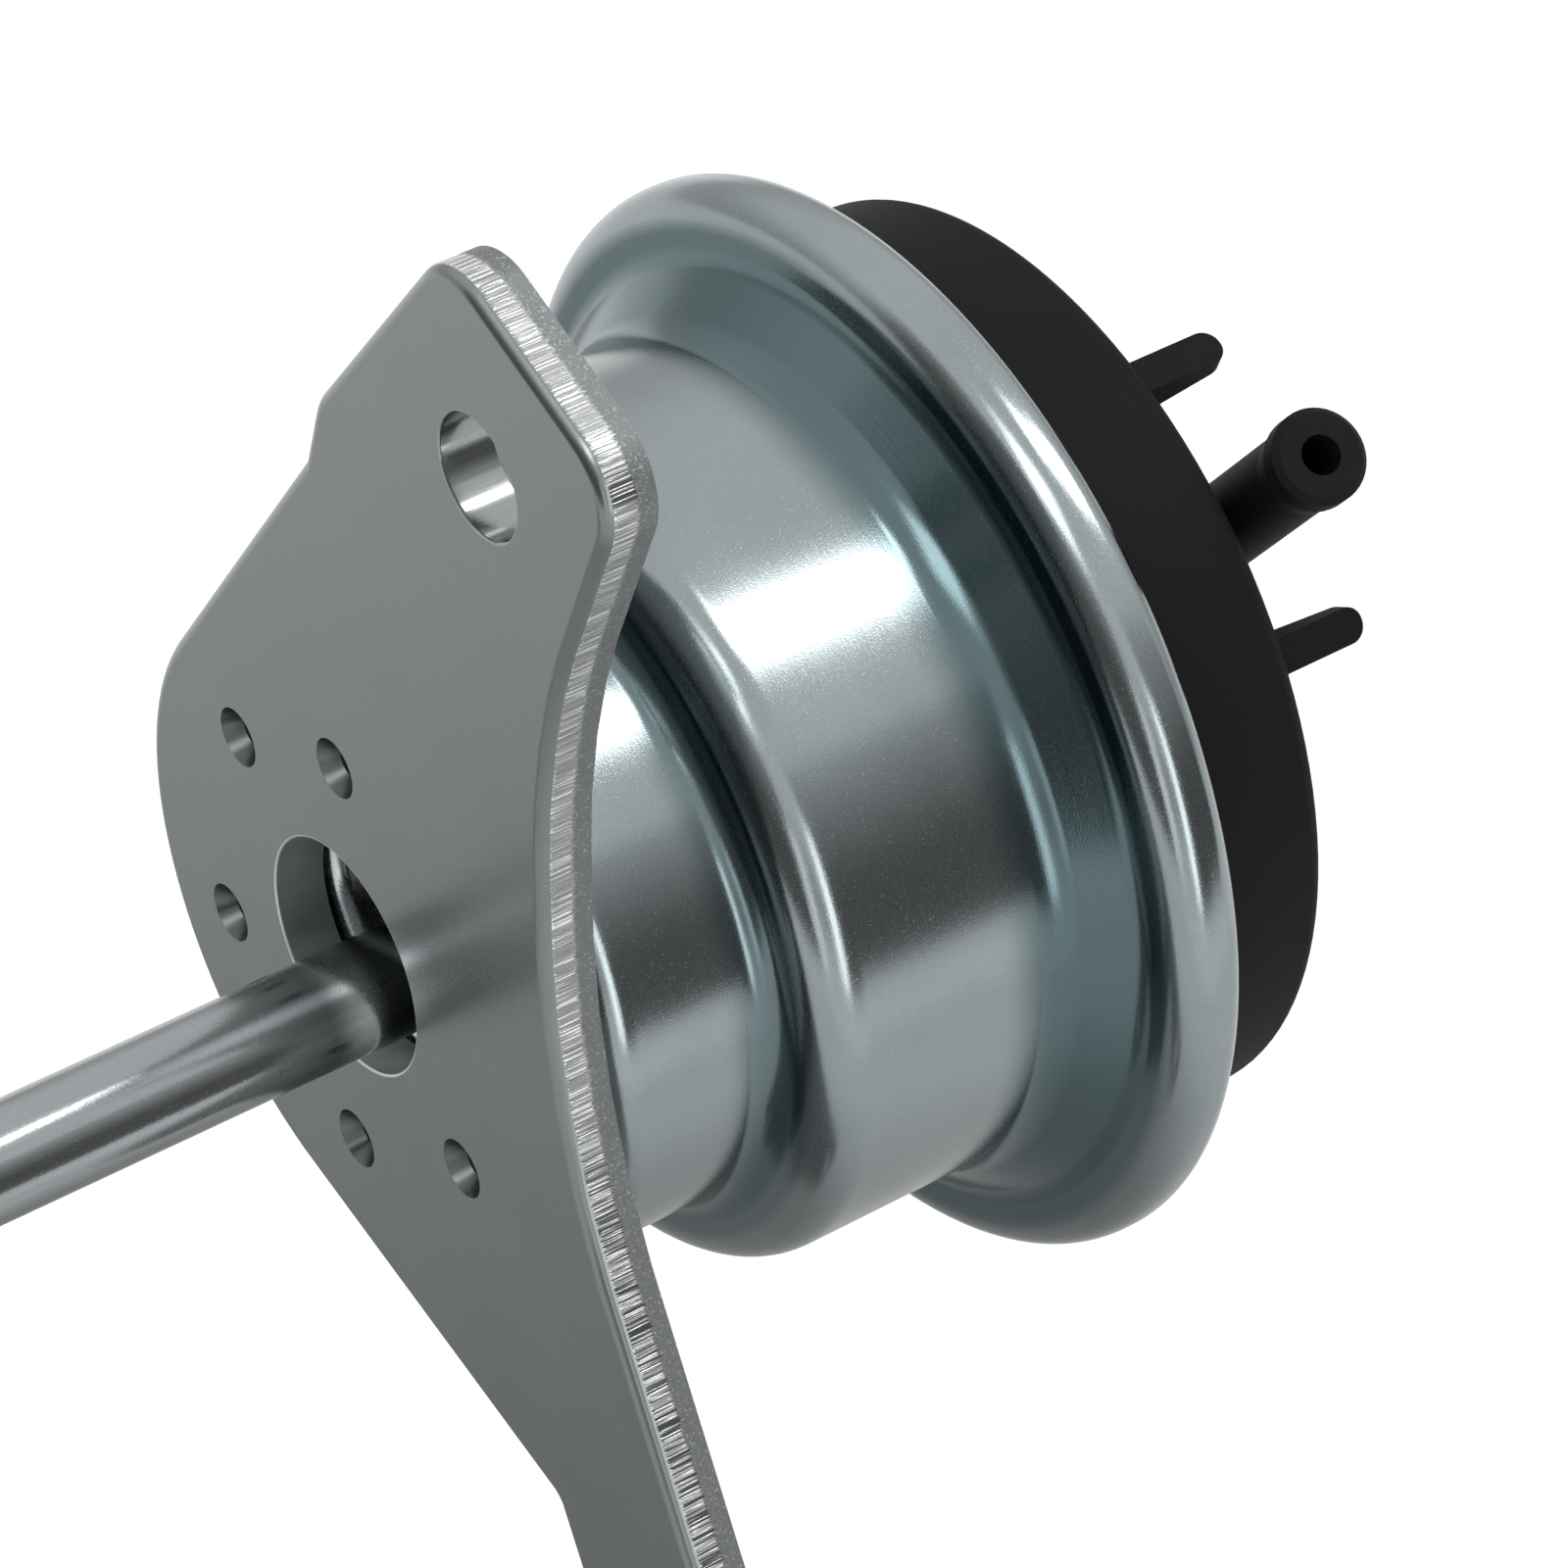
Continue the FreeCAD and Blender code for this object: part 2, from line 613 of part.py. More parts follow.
def lug_tip_edges(body):
    """The two edges across the free end of the lug that was added last."""
    tip = value(f"{CAP_BACK} + lug_height")
    names = []
    for number, edge in enumerate(body.Shape.Edges, 1):
        box = edge.BoundBox
        flat = abs(box.XMin - tip) < 1e-4 and abs(box.XMax - tip) < 1e-4
        if flat and abs(edge.Length - value("lug_tip")) < 1e-3:
            names.append(f"Edge{number}")
    return names


def diaphragm():
    """Rubber diaphragm, clamped at its rim and rolled between the can's wall and the piston's skirt."""
    body = new_body("diaphragm")
    rim = f"{RIM_RADIUS} - rim_corner"
    outer = "(can_radius - can_sheet - roll_gap)"
    inner = f"({PISTON_RADIUS} + roll_clearance)"
    fold = f"({DIAPHRAGM_BACK} - roll_length)"
    hole = "tenon_radius + tenon_gap"
    corners = [
        (RIM_INSIDE, rim),
        (RIM_INSIDE, outer),
        (fold, outer),
        (fold, inner),
        (PISTON_CROWN, inner),
        (PISTON_CROWN, hole),
        (DIAPHRAGM_BACK, hole),
        (DIAPHRAGM_BACK, f"{inner} + rubber"),
        (f"{fold} + rubber", f"{inner} + rubber"),
        (f"{fold} + rubber", f"{outer} - rubber"),
        (CAP_SEAT, f"{outer} - rubber"),
        (CAP_SEAT, rim),
    ]
    revolved(body, "skin", corners)
    half_fold = f"({outer} - {inner}) / 2 - fold_flat"
    rounded(body, "fold_outside", half_fold, ring_edges(body, corners[2:4]))
    rounded(body, "fold_inside", f"{half_fold} - rubber", ring_edges(body, corners[8:10]))
    rounded(body, "crown_inside", "piston_corner", ring_edges(body, [corners[4]]))
    rounded(body, "crown_outside", "piston_corner + rubber", ring_edges(body, [corners[7]]))
    rounded(body, "rim_inside", "rubber", ring_edges(body, [corners[1]]))
    rounded(body, "rim_outside", "rubber * 2", ring_edges(body, [corners[10]]))
    return body


def piston():
    """Pressed cup that the diaphragm rolls on and the spring pushes against."""
    body = new_body("piston")
    inside = f"{PISTON_RADIUS} - piston_sheet"
    hole = "tenon_radius + tenon_gap"
    corners = [
        (PISTON_END, inside),
        (PISTON_END, PISTON_RADIUS),
        (PISTON_CROWN, PISTON_RADIUS),
        (PISTON_CROWN, hole),
        (PISTON_FLOOR, hole),
        (PISTON_FLOOR, inside),
    ]
    revolved(body, "cup", corners)
    rounded(body, "crown_outside", "piston_corner", ring_edges(body, [corners[2]]))
    rounded(body, "crown_inside", "piston_corner - piston_sheet", ring_edges(body, [corners[5]]))
    return body


def backing_plate():
    """Pressed plate that clamps the diaphragm to the piston, with its rim turned up."""
    body = new_body("backing_plate")
    inside = f"{BACKING_RADIUS} - backing_sheet"
    hole = "tenon_radius + tenon_seal_room"
    corners = [
        (DIAPHRAGM_BACK, hole),
        (DIAPHRAGM_BACK, BACKING_RADIUS),
        (f"{BACKING_BACK} + backing_lip", BACKING_RADIUS),
        (f"{BACKING_BACK} + backing_lip", inside),
        (BACKING_BACK, inside),
        (BACKING_BACK, hole),
    ]
    revolved(body, "dish", corners)
    rounded(body, "dish_outside", "backing_bend + backing_sheet", ring_edges(body, [corners[1]]))
    rounded(body, "dish_inside", "backing_bend", ring_edges(body, [corners[4]]))
    return body


def flat_ring(label, start, end, inner, outer, edge=None):
    """A washer, bush or ring: a rectangle turned about X, its outer edges rounded if asked."""
    body = new_body(label)
    corners = [(start, inner), (start, outer), (end, outer), (end, inner)]
    revolved(body, label + "_ring", corners)
    if edge:
        rounded(body, label + "_edges", edge, ring_edges(body, corners[1:3]))
    return body


def tenon_seal():
    """Rubber ring that seals the rod's tenon where it passes the diaphragm."""
    seal = doc.addObject("Part::Torus", "tenon_seal")
    seal.Label = "tenon_seal"
    middle = f"({DIAPHRAGM_BACK} + {BACKING_BACK}) / 2"
    seal.setExpression("Radius1", tied("tenon_radius + tenon_gap + tenon_seal_radius"))
    seal.setExpression("Radius2", tied("tenon_seal_radius"))
    seal.setExpression(
        "Placement", f"placement(vector({tied(middle)}; 0; 0); rotation(vector(0; 1; 0); 90))")
    return seal


def rod():
    """Bent rod: threaded outside, straight through the guide, shouldered and riveted at the piston."""
    body = new_body("rod")
    path = new_sketch(body, "rod_path", "XY_Plane")
    turn_plane(path, "rod_offset_angle")
    start = value(BEND_START)
    end = value(BEND_END)
    offset = value("rod_offset")
    bend = ((end - start) ** 2 + offset ** 2) / (4 * offset)
    turn = 2 * math.atan2(offset, end - start)
    up = FreeCAD.Vector(0, 0, 1)
    outer_line = Part.LineSegment(
        FreeCAD.Vector(value(ROD_END), offset, 0), FreeCAD.Vector(start, offset, 0))
    outer_bend = Part.ArcOfCircle(
        Part.Circle(FreeCAD.Vector(start, offset - bend, 0), up, bend), math.pi / 2 - turn, math.pi / 2)
    inner_bend = Part.ArcOfCircle(
        Part.Circle(FreeCAD.Vector(end, bend, 0), up, bend), 1.5 * math.pi - turn, 1.5 * math.pi)
    inner_line = Part.LineSegment(
        FreeCAD.Vector(end, 0, 0), FreeCAD.Vector(value(ROD_SHOULDER), 0, 0))
    path.addGeometry([outer_line, outer_bend, inner_bend, inner_line])
    path.addConstraint(Sketcher.Constraint("Tangent", 0, 2, 1, 2))
    path.addConstraint(Sketcher.Constraint("Tangent", 1, 1, 2, 1))
    path.addConstraint(Sketcher.Constraint("Tangent", 2, 2, 3, 1))
    tie_point(path, 0, 1, ROD_END, "rod_offset")
    tie_point(path, 0, 2, BEND_START, "rod_offset")
    tie_point(path, 3, 1, BEND_END, "0")
    tie_point(path, 3, 2, ROD_SHOULDER, "0")
    path.addConstraint(Sketcher.Constraint("Equal", 1, 2))
    profile = new_sketch(body, "rod_section", "YZ_Plane", ROD_END)
    ring(profile, ROD_Y, ROD_Z, "rod_radius")
    doc.recompute()
    pipe = body.newObject("PartDesign::AdditivePipe", "bar")
    pipe.Profile = profile
    pipe.Spine = (path, [])
    doc.recompute()
    far_end = [
        f"Edge{number}" for number, edge in enumerate(body.Shape.Edges, 1)
        if isinstance(edge.Curve, Part.Circle) and abs(edge.Curve.Center.x - value(ROD_END)) < 1e-3]
    bevelled(body, "thread_start", "rod_end_bevel", far_end)
    corners = [
        (f"{ROD_SHOULDER} - tenon_radius", "0"),
        (f"{ROD_SHOULDER} - tenon_radius", "tenon_radius"),
        (HEAD_SEAT, "tenon_radius"),
        (HEAD_SEAT, "head_radius"),
        (f"{HEAD_SEAT} + head_height", "head_radius"),
        (f"{HEAD_SEAT} + head_height", "0"),
    ]
    revolved(body, "tenon_and_head", corners)
    rounded(body, "head_dome", "head_dome", ring_edges(body, [corners[4]]))
    return body


def lock_nut():
    """Hexagon nut against the rod end, its corners turned down on both faces."""
    body = new_body("lock_nut")
    hexagon = outline(body, "nut_outline", "YZ_Plane", [
        (f"{ROD_Y} + nut_flats / 2 / cos(30) * cos({angle})", f"{ROD_Z} + nut_flats / 2 / cos(30) * sin({angle})")
        for angle in range(0, 360, 60)], SHANK_FACE)
    padded(body, "blank", hexagon, "nut_height")
    thread = new_sketch(body, "thread_outline", "YZ_Plane", SHANK_FACE)
    ring(thread, ROD_Y, ROD_Z, "rod_radius + thread_gap")
    pocketed(body, "thread_bore", thread, "nut_height", backwards=True)
    for name, face, inward in (("front", SHANK_FACE, "+"), ("back", f"({SHANK_FACE} + nut_height)", "-")):
        section = outline(body, name + "_bevel_section", "XY_Plane", [
            (face, "nut_flats / 2 - nut_bevel_start"),
            (face, "nut_flats"),
            (f"{face} {inward} (nut_flats / 2 + nut_bevel_start) * tan(nut_bevel)", "nut_flats"),
        ])
        section.setExpression(
            "AttachmentOffset", f"placement(vector(0; {tied(ROD_Y)}; {tied(ROD_Z)}); rotation(0; 0; 0))")
        bevel = body.newObject("PartDesign::Groove", name + "_bevel")
        bevel.Profile = section
        bevel.ReferenceAxis = (section, ["H_Axis"])
        bevel.Angle = 360
        doc.recompute()
    return body


def rod_end():
    """Rod end: a threaded shank that runs into an eye."""
    body = new_body("rod_end")
    eye = new_sketch(body, "eye_outline", "XY_Plane", ROD_Z)
    ring(eye, EYE, ROD_Y, "eye_radius")
    padded(body, "eye", eye, "eye_thickness", midplane=True)
    shank = new_sketch(body, "shank_outline", "YZ_Plane", EYE)
    ring(shank, ROD_Y, ROD_Z, "shank_radius")
    padded(body, "shank", shank, "eye_distance")
    shank_end = [
        f"Edge{number}" for number, edge in enumerate(body.Shape.Edges, 1)
        if isinstance(edge.Curve, Part.Circle) and abs(edge.Curve.Center.x - value(SHANK_FACE)) < 1e-3]
    bevelled(body, "shank_bevel", "eye_edge", shank_end)
    hole = new_sketch(body, "liner_outline", "XY_Plane", ROD_Z)
    ring(hole, EYE, ROD_Y, "liner_radius")
    pocketed(body, "liner_hole", hole, "eye_thickness * 2", midplane=True)
    thread = new_sketch(body, "thread_outline", "YZ_Plane", SHANK_FACE)
    ring(thread, ROD_Y, ROD_Z, "rod_radius + thread_gap")
    pocketed(body, "thread_bore", thread, "shank_engage + rod_end_bevel")
    return body


def eye_liner():
    """Bronze liner in the rod end's eye."""
    body = new_body("eye_liner")
    tube = new_sketch(body, "liner_outline", "XY_Plane", ROD_Z)
    ring(tube, EYE, ROD_Y, "liner_radius")
    ring(tube, EYE, ROD_Y, "pin_hole / 2")
    padded(body, "liner", tube, "eye_thickness + 2 * liner_stand", midplane=True)
    return body


def guide_bush():
    """Flanged bush that guides the rod, put through the nose from inside."""
    body = new_body("guide_bush")
    bore = "rod_radius + running_gap"
    corners = [
        (BUSH_FRONT, bore),
        (BUSH_FRONT, "bush_radius"),
        (RECESS_BACK, "bush_radius"),
        (RECESS_BACK, "bush_flange_radius"),
        (FLANGE_BACK, "bush_flange_radius"),
        (FLANGE_BACK, "bush_radius"),
        (BUSH_BACK, "bush_radius"),
        (BUSH_BACK, bore),
    ]
    revolved(body, "bush", corners)
    rounded(body, "front_edge", "bush_edge", ring_edges(body, [corners[1]]))
    return body


def seal_holder():
    """Pressed cup that holds the bush and the rod seal against the back of the nose."""
    body = new_body("seal_holder")
    inside = "bush_flange_radius + fit_gap"
    outside = f"{inside} + holder_sheet"
    corners = [
        (RECESS_BACK, inside),
        (RECESS_BACK, outside),
        (f"{HOLDER_INSIDE} + holder_sheet", outside),
        (f"{HOLDER_INSIDE} + holder_sheet", "holder_window"),
        (HOLDER_INSIDE, "holder_window"),
        (HOLDER_INSIDE, inside),
    ]
    revolved(body, "cup", corners)
    rounded(body, "cup_edge", "holder_sheet", ring_edges(body, [corners[2]]))
    return body


def spring_seat():
    """Pressed seat that centres the spring on the floor of the nose."""
    body = new_body("spring_seat")
    corners = [
        (NOSE_INSIDE, SEAT_INNER),
        (NOSE_INSIDE, SEAT_OUTER),
        (SEAT_TOP, SEAT_OUTER),
        (SEAT_TOP, SEAT_COLLAR),
        (f"{SEAT_TOP} + seat_rise", SEAT_COLLAR),
        (f"{SEAT_TOP} + seat_rise", f"{SEAT_COLLAR} - seat_sheet"),
        (SEAT_TOP, f"{SEAT_COLLAR} - seat_sheet"),
        (SEAT_TOP, SEAT_INNER),
    ]
    revolved(body, "seat", corners)
    rounded(body, "collar_edge", "seat_edge", ring_edges(body, corners[4:5]))
    return body


def return_spring():
    """Compression spring between the spring seat and the piston, with a closed turn at each end.

    Each half turn is a leaning arc, so that it meets the next one in a smooth line.
    """
    body = new_body("return_spring")
    closed = "round(2 * closed_turns)"
    opened = "round(2 * active_turns)"
    closed_rise = "((2 * wire_radius + coil_gap) / 2)"
    room = f"({PISTON_FLOOR} - {SEAT_TOP} - 2 * wire_radius)"
    open_rise = f"(({room} - 2 * {closed} * {closed_rise}) / {opened})"
    rises = [closed_rise] * round(value(closed)) + [open_rise] * round(value(opened))
    rises += [closed_rise] * round(value(closed))
    along = f"{SEAT_TOP} + wire_radius"
    for number, rise in enumerate(rises, 1):
        side = "-" if number % 2 == 0 else ""
        wire = new_sketch(body, f"half_turn_{number}_section", "XY_Plane")
        ring(wire, along, side + COIL_RADIUS, "wire_radius")
        middle = f"{along} + {rise} / 2"
        lean = (f"{middle} + 2 * {COIL_RADIUS}", side + rise)
        spots = [FreeCAD.Vector(value(middle), 0, 0), FreeCAD.Vector(*map(value, lean), 0)]
        axis = wire.addGeometry(Part.LineSegment(*spots), True)
        tie_point(wire, axis, 1, middle, "0")
        tie_point(wire, axis, 2, *lean)
        arc = body.newObject("PartDesign::Revolution", f"half_turn_{number}")
        arc.Profile = wire
        arc.ReferenceAxis = (wire, ["Axis0"])
        arc.Angle = 180
        doc.recompute()
        along += f" + {rise}"
    return body


def build():
    tenon_hole = "tenon_radius + tenon_gap"
    return [
        bracket(),
        can(),
        cap(),
        guide_bush(),
        flat_ring("rod_seal", BUSH_BACK, SEAL_BACK, "rod_radius + running_gap", "seal_radius", "washer_edge"),
        seal_holder(),
        spring_seat(),
        return_spring(),
        diaphragm(),
        piston(),
        flat_ring("rod_washer", ROD_SHOULDER, PISTON_FLOOR, tenon_hole, "shoulder_washer_radius", "washer_edge"),
        backing_plate(),
        tenon_seal(),
        flat_ring("rivet_washer", BACKING_BACK, HEAD_SEAT, tenon_hole, "rivet_washer_radius", "washer_edge"),
        rod(),
        lock_nut(),
        rod_end(),
        eye_liner(),
    ]


nodes = build()
doc.recompute()
for item in doc.Objects:
    if "Invalid" in item.State or "Error" in item.State:
        raise RuntimeError(f"{item.Label} failed: {item.State}")
for node in nodes:
    if node.Shape.isNull() or not node.Shape.isValid() or not node.Shape.Solids:
        raise RuntimeError(f"{node.Label} has no valid solid")
os.makedirs("parts", exist_ok=True)
for node in nodes:
    node.Shape.exportStep(f"parts/{node.Label}.step")
    print(f"{node.Label}: {len(node.Shape.Solids)} solid, {node.Shape.Volume:.1f} mm3")
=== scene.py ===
"""Wastegate actuator: a zinc plated can and bracket, a black hose cap and a bent rod, on white."""
import math

import bmesh
import bpy
from mathutils import Matrix, Vector


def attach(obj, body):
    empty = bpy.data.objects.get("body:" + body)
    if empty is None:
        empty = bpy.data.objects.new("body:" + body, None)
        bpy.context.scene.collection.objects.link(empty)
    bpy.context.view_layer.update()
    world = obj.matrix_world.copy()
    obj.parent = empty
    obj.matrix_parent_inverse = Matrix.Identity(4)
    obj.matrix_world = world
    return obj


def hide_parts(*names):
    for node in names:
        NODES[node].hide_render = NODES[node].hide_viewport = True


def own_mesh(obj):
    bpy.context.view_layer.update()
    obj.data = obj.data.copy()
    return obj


MM = 0.001
FINEST_TURN = math.radians(7)

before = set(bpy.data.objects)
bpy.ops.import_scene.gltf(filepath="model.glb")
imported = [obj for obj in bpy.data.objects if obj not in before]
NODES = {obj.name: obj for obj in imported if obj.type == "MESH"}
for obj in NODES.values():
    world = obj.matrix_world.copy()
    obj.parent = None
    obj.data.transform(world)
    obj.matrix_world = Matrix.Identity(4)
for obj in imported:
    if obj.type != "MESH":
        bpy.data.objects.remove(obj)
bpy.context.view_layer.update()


# Modelling helpers

def deselect():
    """Leaves edit mode and selects nothing."""
    if bpy.context.object and bpy.context.object.mode != "OBJECT":
        bpy.ops.object.mode_set(mode="OBJECT")
    bpy.ops.object.select_all(action="DESELECT")


def take(piece):
    """Selects one piece alone."""
    deselect()
    piece.select_set(True)
    bpy.context.view_layer.objects.active = piece


def new_piece(name, spot):
    """Starts a piece as one point, in edit mode."""
    deselect()
    bpy.ops.mesh.primitive_plane_add(size=MM, location=spot)
    piece = bpy.context.object
    piece.name = name
    piece.data.name = name
    bpy.ops.object.transform_apply(location=True, rotation=False, scale=False)
    bpy.ops.object.mode_set(mode="EDIT")
    bpy.ops.mesh.select_all(action="SELECT")
    bpy.ops.mesh.merge(type="CENTER")
    return piece


def pick(piece, wanted, kind="verts"):
    """Selects the points or edges that pass a test."""
    bpy.ops.mesh.select_mode(type={"verts": "VERT", "edges": "EDGE"}[kind])
    bpy.ops.mesh.select_all(action="DESELECT")
    mesh = bmesh.from_edit_mesh(piece.data)
    for item in getattr(mesh, kind):
        if wanted(item):
            item.select_set(True)
    mesh.select_flush_mode()
    bmesh.update_edit_mesh(piece.data)


def near(spot):
    return lambda vert: (vert.co - spot).length < 0.002 * MM


def draw(name, spots, roundings):
    """Draws a closed outline point by point, and rounds its corners."""
    piece = new_piece(name, spots[0])
    for before, after in zip(spots, spots[1:]):
        bpy.ops.mesh.extrude_vertices_move(TRANSFORM_OT_translate={"value": after - before})
    pick(piece, lambda vert: near(spots[0])(vert) or near(spots[-1])(vert))
    bpy.ops.mesh.edge_face_add()
    count = len(spots)
    for index, (spot, radius) in enumerate(zip(spots, roundings)):
        if not radius:
            continue
        arriving = (spot - spots[index - 1]).normalized()
        leaving = (spots[(index + 1) % count] - spot).normalized()
        turn = arriving.angle(leaving)
        pick(piece, near(spot))
        bpy.ops.mesh.bevel(
            offset_type="OFFSET", offset=radius * math.tan(turn / 2), affect="VERTICES",
            segments=max(2, math.ceil(turn / FINEST_TURN)), profile=0.5, clamp_overlap=False)
    return piece


def close_up(piece):
    """Merges doubles, turns faces outwards and shades the piece smooth, with flats kept flat."""
    bpy.ops.mesh.select_all(action="SELECT")
    bpy.ops.mesh.remove_doubles(threshold=1e-6)
    bpy.ops.mesh.select_all(action="SELECT")
    bpy.ops.mesh.normals_make_consistent(inside=False)
    bpy.ops.object.mode_set(mode="OBJECT")
    shade(piece, 30)
    return piece


def shade(piece, smooth_below):
    """Shades smooth where the surface turns by less than an angle, in degrees."""
    take(piece)
    bpy.ops.object.shade_smooth_by_angle(angle=math.radians(smooth_below), keep_sharp_edges=False)
    bpy.ops.object.modifier_add(type="WEIGHTED_NORMAL")
    weighting = piece.modifiers[-1]
    weighting.keep_sharp = True
    weighting.weight = 60
    bpy.ops.object.modifier_apply(modifier=weighting.name)


def turned(name, corners, steps):
    """A section of (x, radius, rounding) in millimetres, turned about the can's axis."""
    spots = [Vector((x, radius, 0)) * MM for x, radius, _ in corners]
    piece = draw(name, spots, [rounding * MM for _, _, rounding in corners])
    bpy.ops.mesh.select_all(action="SELECT")
    bpy.ops.mesh.spin(steps=steps, angle=2 * math.pi, center=(0, 0, 0), axis=(1, 0, 0), use_auto_merge=True)
    return close_up(piece)


# Can: one drawn sheet, from the rod's recess to the crimped rim

SHEET = 1.0
NOSE_FACE = 3.3
RECESS_FLOOR = 8.7
SHOULDER = 13.9
SLOPE = 28.6
RIM_FRONT = 31.75
CRIMP_BACK = 35.65
GUIDE_HOLE = 4.6
RECESS_RADIUS = 6.9
NOSE_RADIUS = 19.65
CAN_RADIUS = 24.3
SLOPE_RADIUS = 27.45
CRIMP_LIP = 28.2
RIM_RADIUS = 31.2
HALF_SLOPE = math.tan(math.radians(22.5))


def can_shell():
    """The sheet's outside and inside, each corner with its bending radius."""
    outside = [
        (RECESS_FLOOR, GUIDE_HOLE, 0),
        (RECESS_FLOOR, RECESS_RADIUS, 0.3),
        (NOSE_FACE, RECESS_RADIUS, 1.5),
        (NOSE_FACE, NOSE_RADIUS, 2.4),
        (SHOULDER, NOSE_RADIUS, 1.8),
        (SHOULDER, CAN_RADIUS, 2.8),
        (SLOPE, CAN_RADIUS, 3.0),
        (RIM_FRONT, SLOPE_RADIUS, 1.6),
        (RIM_FRONT, RIM_RADIUS, 2.2),
        (CRIMP_BACK, RIM_RADIUS, 1.3),
        (CRIMP_BACK, CRIMP_LIP, 0),
    ]
    inside = [
        (CRIMP_BACK - SHEET, CRIMP_LIP, 0),
        (CRIMP_BACK - SHEET, RIM_RADIUS - SHEET, 0.3),
        (RIM_FRONT + SHEET, RIM_RADIUS - SHEET, 1.2),
        (RIM_FRONT + SHEET, SLOPE_RADIUS - SHEET * HALF_SLOPE, 2.6),
        (SLOPE + SHEET * HALF_SLOPE, CAN_RADIUS - SHEET, 4.0),
        (SHOULDER + SHEET, CAN_RADIUS - SHEET, 1.8),
        (SHOULDER + SHEET, NOSE_RADIUS - SHEET, 2.8),
        (NOSE_FACE + SHEET, NOSE_RADIUS - SHEET, 1.4),
        (NOSE_FACE + SHEET, RECESS_RADIUS + SHEET, 0.5),
        (RECESS_FLOOR + SHEET, RECESS_RADIUS + SHEET, 1.3),
        (RECESS_FLOOR + SHEET, GUIDE_HOLE, 0),
    ]
    return turned("can_shell", outside + inside, steps=240)


# Bracket: a stamped plate

PLATE = 3.0
BODY_RADIUS = 19.2
BOLT_REACH = 43.15
EAR_ANGLE = 109.8
ARM_ANGLE = 226.3
ARM_TILT = 28.0
ARM_HALF_WIDTH = 6.75
ARM_END = -7.49
ARM_END_ROUND = 6.2
ROD_HOLE = 6.75
BOLT_HOLE = 3.3
FRONT_ROUND = 0.75
HOLE_ROUND = 0.14
# y and z from the ear's hole, and the corner's radius
EAR_FRONT = ((2.73, 11.71, 4.0), (14.76, -4.35, 4.0), (16.14, -8.93, 1.0))
EAR_BACK = (-11.95, 5.84, 4.0)
SIDE_CORNER = (-19.12, 27.13, 40.0)
BODY_ARC_FROM = 34.4
BODY_ARC_SWEEP = 110.8
BODY_ARC_STEPS = 36


def at_angle(reach, angle):
    """y and z at a reach from the can's axis, at an angle in degrees."""
    return reach * math.cos(math.radians(angle)), reach * math.sin(math.radians(angle))


